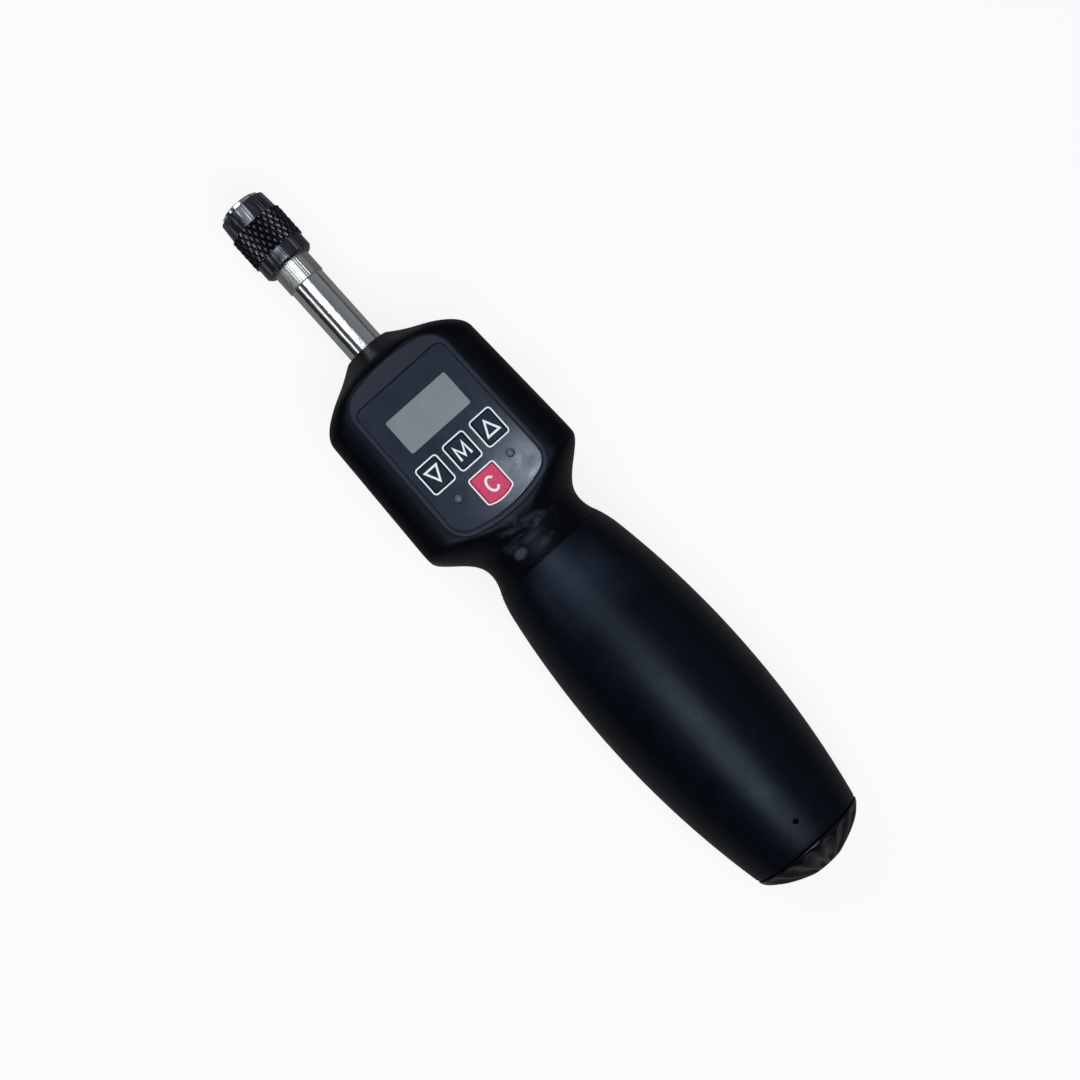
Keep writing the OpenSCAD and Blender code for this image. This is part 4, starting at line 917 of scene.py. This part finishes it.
def make_panel():
    """The overlay with its window and holes, the window's lens and the keys' frames."""
    window = box_loop(LCD_S, LCD_LEN, 0, LCD_W, LCD_CORNER)
    loops = [(name + "_frame", key_loop(place)) for name, place, _ in KEYS]
    loops.append(("key_clear_frame", clear_loop))
    holes = [shifted(window, -WINDOW_FIT), shifted(clear_loop, KEY_HOLE)]
    holes += [shifted(loop, KEY_HOLE) for _, loop in loops[:-1]]
    holes += [lambda inset, x=x, y=y: disc(x, y, DOT_R - inset, 28) for x, y in DOTS]
    plate("keypad_overlay_fine", overlay_loop, holes, OVERLAY_LOW, OVERLAY_TOP, 0.12,
          "overlay_film", "body", ["keypad_overlay"])
    plate("lcd_lens_fine", window, [], LENS_LOW, OVERLAY_TOP - 0.02, 0.06, "lcd_glass", "body",
          ["lcd_lens"])
    for name, loop in loops:
        plate(name, loop, [shifted(loop, FRAME_W)], OVERLAY_TOP - PRINT, OVERLAY_TOP + PRINT,
              0.01, "print_white", "body", ())


def make_keys():
    flange = [(0, KEY_FLANGE), (-FLANGE_W, KEY_FLANGE - 0.02)]
    for name, place, body in KEYS:
        plate(name + "_cap", shifted(key_loop(place), KEY_INSET), [], KEY_LOW, BEZEL_TOP, 0.3,
              "key_black", body, [name], flange)
    plate("key_clear_cap", shifted(clear_loop, KEY_INSET), [], KEY_LOW, BEZEL_TOP, 0.3,
          "key_red", "clear_key", ["key_clear"], flange)


def stroke_sides(line, closed, width, place):
    """The two edges of a polyline drawn with a pen of a width, with mitred corners."""
    count = len(line)
    sides = [[], []]
    for i, point in enumerate(line):
        p = Vector(point)
        before = Vector(line[i - 1]) if closed or i else None
        after = Vector(line[(i + 1) % count]) if closed or i < count - 1 else None
        d1 = (p - before).normalized() if before else (after - p).normalized()
        d2 = (after - p).normalized() if after else d1
        n1, n2 = Vector((-d1.y, d1.x)), Vector((-d2.y, d2.x))
        mitre = (n1 + n2).normalized()
        mitre *= min(1 / max(mitre.dot(n1), 0.3), 2.2) * width / 2
        if not before:
            p = p - d2 * width / 2
        if not after:
            p = p + d1 * width / 2
        for side, q in zip(sides, (p + mitre, p - mitre)):
            side.append((place[0] + q.y, place[1] - q.x))
    return sides


def print_sign(name, line, closed, width, place, body):
    """A printed sign from a polyline in (right, up) millimetres; up points to the tip."""
    bm = bmesh.new()
    low, high = (BEZEL_TOP - PRINT_ROOT) * MM, (BEZEL_TOP + PRINT) * MM
    top, bottom = [[[bm.verts.new((x * MM, y * MM, z)) for x, y in side]
                    for side in stroke_sides(line, closed, width, place)] for z in (high, low)]
    loops = [top[0], top[1], bottom[1], bottom[0]]
    count = len(line)
    for i in range(count if closed else count - 1):
        j = (i + 1) % count
        for a, b in zip(loops, loops[1:] + loops[:1]):
            bm.faces.new((a[i], a[j], b[j], b[i]))
    if not closed:
        for i in (0, count - 1):
            bm.faces.new([loop[i] for loop in loops])
    bmesh.ops.recalc_face_normals(bm, faces=bm.faces)
    data = bpy.data.meshes.new(name)
    bm.to_mesh(data)
    bm.free()
    add_piece(name, data, "print_white", body)


def make_signs():
    """Plain function signs: up, down, mode and clear."""
    middle = -KEY_S - KEY_LEN / 2
    nudge = 0.1
    half, base, peak = 1.75, -1.9, 1.75
    up = [(-half, base), (half, base), (0, peak)]
    down = [(x, -y) for x, y in up]
    pen = 0.52
    print_sign("key_up_sign", up, True, pen, (middle + nudge, -KEY_PITCH), "up_key")
    print_sign("key_down_sign", down, True, pen, (middle - nudge, KEY_PITCH), "down_key")
    foot, shoulder, cap, valley = 1.55, 1.35, 1.65, -1.35
    mode = [(-foot, -cap), (-shoulder, cap), (0, valley), (shoulder, cap), (foot, -cap)]
    print_sign("key_mode_sign", mode, False, 0.56, (middle + nudge, 0), "mode_key")
    bow = [(nudge + 1.25 * math.cos(a), 1.85 * math.sin(a)) for a in
           [math.radians(48 + 264 * i / 20) for i in range(21)]]
    print_sign("key_clear_sign", bow, False, 0.60, (-CLEAR_S - CLEAR_LEN / 2, 0), "clear_key")


# Release sleeve and its spring, which share their measures with the frame

SLEEVE_S, FRONT_BAND, KNURL_LEN, REAR_BAND, CHAMFER = 1.3, 5.1, 8.8, 3.6, 0.7
KNURL_S = SLEEVE_S + FRONT_BAND
KNURL_END = KNURL_S + KNURL_LEN
SLEEVE_END = KNURL_END + REAR_BAND + CHAMFER
# Radii of the bands, the front edge, the knurl's grooves, the pocket, the land and the bore
BAND_R, FRONT_R, KNURL_R, POCKET_R, LAND_R, BORE_R = 6.85, 6.48, 6.9, 5.9, 4.8, 5.15
LAND_S, LAND_END, RAMP_END, BORE_S = 9.0, 10.9, 15.3, 16.0
# Diamonds round and along the knurl, its height, the points for each diamond, and the share
# of a diamond's half width that is groove and slope
KNURL_N, KNURL_CELLS, KNURL_H, KNURL_FINE = 26, 3, 0.45, 12
GROOVE_SHARE, SLOPE_SHARE = 0.10, 0.85

SPRING_WIRE, SPRING_TURNS, SLEEVE_TRAVEL = 0.5, 6, 3.0
# Part of a turn that lies flat at each end, and the pitch of coils that lie close
FLAT_TURN, FLAT_PITCH = 0.75, SPRING_WIRE * 1.02


def knurl_rise(turn, along):
    """Height of the knurl over its grooves, at a place given in diamonds."""
    p, q = (turn + along) % 1.0, (turn - along) % 1.0
    edge = min(p, 1 - p, q, 1 - q) * 2
    rise = unit((edge - GROOVE_SHARE) / SLOPE_SHARE)
    return KNURL_H * rise * (2 - rise)


def make_sleeve():
    """The knurled sleeve: raised diamonds between two polished bands."""
    count = KNURL_N * KNURL_FINE
    rows = int(KNURL_CELLS * KNURL_FINE * 1.5)

    def knurled(share, r):
        points = []
        for i, t in enumerate(turns(count)):
            q = r + knurl_rise(i / KNURL_FINE, KNURL_CELLS * share)
            points.append((-KNURL_S - KNURL_LEN * share, q * math.cos(t), q * math.sin(t)))
        return points

    front = [(SLEEVE_S, POCKET_R + 0.05), (SLEEVE_S, FRONT_R - 0.18),
             (SLEEVE_S + 0.06, FRONT_R - 0.06), (SLEEVE_S + 0.2, FRONT_R),
             (KNURL_S - 2.5, BAND_R - 0.19), (KNURL_S - 0.2, BAND_R - 0.03),
             (KNURL_S - 0.02, BAND_R)]
    rear = [(KNURL_END + 0.02, BAND_R), (SLEEVE_END - 0.9, BAND_R),
            (SLEEVE_END - 0.75, BAND_R - 0.05), (SLEEVE_END - 0.2, BAND_R - 0.55),
            (SLEEVE_END - 0.05, BAND_R - 0.73), (SLEEVE_END, BAND_R - 0.85)]
    inside = [(SLEEVE_END, BORE_R), (BORE_S, BORE_R), (BORE_S, POCKET_R), (RAMP_END, POCKET_R),
              (LAND_END, LAND_R), (LAND_S, LAND_R), (LAND_S, POCKET_R)]
    rings = [ring(s, r, count) for s, r in front]
    rings.append(knurled(0, KNURL_R - 0.02))
    rings += [knurled(j / rows, KNURL_R) for j in range(1, rows)]
    rings.append(knurled(1, KNURL_R - 0.02))
    rings += [ring(s, r, count) for s, r in rear + inside]
    add_piece("release_sleeve_fine", ring_mesh("release_sleeve_fine", rings), "black_sleeve",
              "sleeve", ["release_sleeve"])


def make_spring():
    """The sleeve's return spring, built at its resting length; on the tool it shortens as the
    sleeve is pulled forward.
    """
    low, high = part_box("sleeve_spring")
    wire_r = SPRING_WIRE / 2
    front, back = -high[0] / MM + wire_r, -low[0] / MM - wire_r
    coil_r = (high[1] - low[1]) / 2 / MM - wire_r
    count = SPRING_TURNS * 40
    rings = []
    for i in range(count + 1):
        turn = SPRING_TURNS * i / count
        t = 2 * math.pi * turn
        flat = unit(turn / FLAT_TURN) + unit((turn - SPRING_TURNS) / FLAT_TURN + 1)
        rise = unit((turn - FLAT_TURN) / (SPRING_TURNS - 2 * FLAT_TURN))
        s = front + FLAT_PITCH * flat + rise * (back - front - 2 * FLAT_PITCH)
        section = []
        for a in turns(12):
            r = coil_r + wire_r * math.cos(a)
            section.append((-s - wire_r * math.sin(a), r * math.cos(t), r * math.sin(t)))
        rings.append(section)
    obj = add_piece("sleeve_spring_fine", ring_mesh("sleeve_spring_fine", rings, True),
                    "hard_steel", "body", ["sleeve_spring"])
    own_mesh(obj)


# Battery cap

CAP_R, CAP_S, CAP_LEN, CAP_END, CAP_POWER = GRIP_R - GRIP_DROP, 208.7, 7.3, 5.0, 1.8
FLUTES, FLUTE_FINE, FLUTE_DEPTH = 16, 12, 0.85
# Shares of the dome's length over which its rim is rounded and its flutes fade out
RIM_SHARE, FLUTE_START, FLUTE_FADE, RIM_ROUND = 0.03, 1 / 3, 1 / 8, 0.18
# Flat recess in the dome's end
RECESS_R, RECESS_DEPTH = 3.0, 0.15
# The plug: its end, seal groove and shoulder, and the radii of bore, groove, thread and flange
PLUG_S, GROOVE_S, GROOVE_END, PLUG_END = 202.9, 205.3, 206.7, 207.6
PLUG_BORE, GROOVE_R, THREAD_R, FLANGE_R, CAP_FLOOR = 9.5, 10.2, 11.5, 12.9, 0.5
# The poles of dome and bore are closed by small flat faces
POLE_R = 0.4


def dome_ring(k, count):
    """A ring of the fluted dome, at a share of its length."""
    slope = (CAP_R - CAP_END) * CAP_POWER * k ** (CAP_POWER - 1) / CAP_LEN
    rim = RIM_ROUND * max(0.0, 1 - k / RIM_SHARE) ** 2
    deep = FLUTE_DEPTH * smooth(unit(k / FLUTE_START)) * smooth(unit((1 - k) / FLUTE_FADE))
    points = []
    for a in turns(count):
        d = deep * (1 - math.cos(FLUTES * a)) / 2 / math.sqrt(1 + slope * slope)
        r = CAP_R - (CAP_R - CAP_END) * k ** CAP_POWER - d - rim
        points.append((-CAP_S - CAP_LEN * k + d * slope, r * math.cos(a), r * math.sin(a)))
    return points


def make_cap():
    """The battery cap: a low dome with deep flutes that run out at its flat end."""
    count = FLUTES * FLUTE_FINE
    end = CAP_S + CAP_LEN
    shares = [0, 0.01, RIM_SHARE] + [mix(0.06, 1, i / 26) for i in range(27)]
    plug = [(CAP_S + CAP_FLOOR, POLE_R), (CAP_S + CAP_FLOOR, PLUG_BORE), (PLUG_S, PLUG_BORE),
            (PLUG_S, THREAD_R - 0.1), (PLUG_S + 0.2, THREAD_R), (GROOVE_S, THREAD_R),
            (GROOVE_S, GROOVE_R), (GROOVE_END, GROOVE_R), (GROOVE_END, THREAD_R),
            (PLUG_END, THREAD_R), (PLUG_END + 0.1, FLANGE_R), (CAP_S, FLANGE_R)]
    recess = [(end, RECESS_R + 0.2), (end - RECESS_DEPTH, RECESS_R),
              (end - RECESS_DEPTH, POLE_R)]
    rings = [ring(s, r, count) for s, r in plug]
    rings += [dome_ring(k, count) for k in shares]
    rings += [ring(s, r, count) for s, r in recess]
    data = ring_mesh("battery_cap_fine", rings, True)
    add_piece("battery_cap_fine", data, "cap_plastic", "cap", ["battery_cap"])


# The solids that are carried over, and the scene

NODE_FINISH = {
    "chuck_body": "satin_steel", "detent_ball": "hard_steel", "sleeve_spring": "hard_steel",
    "sleeve_washer": "hard_steel", "snap_ring": "chrome", "bit_magnet": "magnet",
    "drive_shaft": "chrome", "shaft_bushing": "bronze", "torque_sensor": "sensor_steel",
    "sensor_set_screws": "dark_screws", "strain_gauges": "lead_film",
    "sensor_leads": "lead_film", "housing_screws": "dark_screws", "lcd_module": "lcd_frame",
    "indicator_lenses": "lens_dark", "tact_switches": "switch_metal",
    "main_board": "board_green", "board_components": "chip_black",
    "board_screws": "hard_steel", "buzzer": "chip_black", "core_tube": "tube_aluminium",
    "handle_body": "handle_plastic", "grip_screw": "black_oxide",
    "battery_holder": "handle_plastic", "battery_cell_a": "cell_wrap",
    "battery_cell_b": "cell_wrap", "battery_contacts": "contact_metal",
    "battery_springs": "contact_metal", "battery_leads": "lead_red",
    "cap_o_ring": "seal_rubber", "release_sleeve": "black_sleeve",
    "head_front_shell": "shell_plastic", "head_back_shell": "shell_plastic",
    "display_bezel": "bezel_plastic", "keypad_overlay": "overlay_film",
    "lcd_lens": "lcd_glass", "key_up": "key_black", "key_mode": "key_black",
    "key_down": "key_black", "key_clear": "key_red", "grip_sleeve": "grip_rubber",
    "battery_cap": "cap_plastic",
}


def dress_nodes():
    for name, finish_name in NODE_FINISH.items():
        obj = nodes[name]
        if not obj.material_slots:
            obj.data.materials.append(mats[finish_name].mat)
        for place in obj.material_slots:
            place.material = mats[finish_name].mat


make_camera()
make_world()
make_floor()
make_lamps()
make_materials()
dress_nodes()
make_head()
make_bezel()
make_panel()
make_keys()
make_signs()
make_grip()
make_sleeve()
make_spring()
make_cap()

scene.view_settings.view_transform = "Standard"
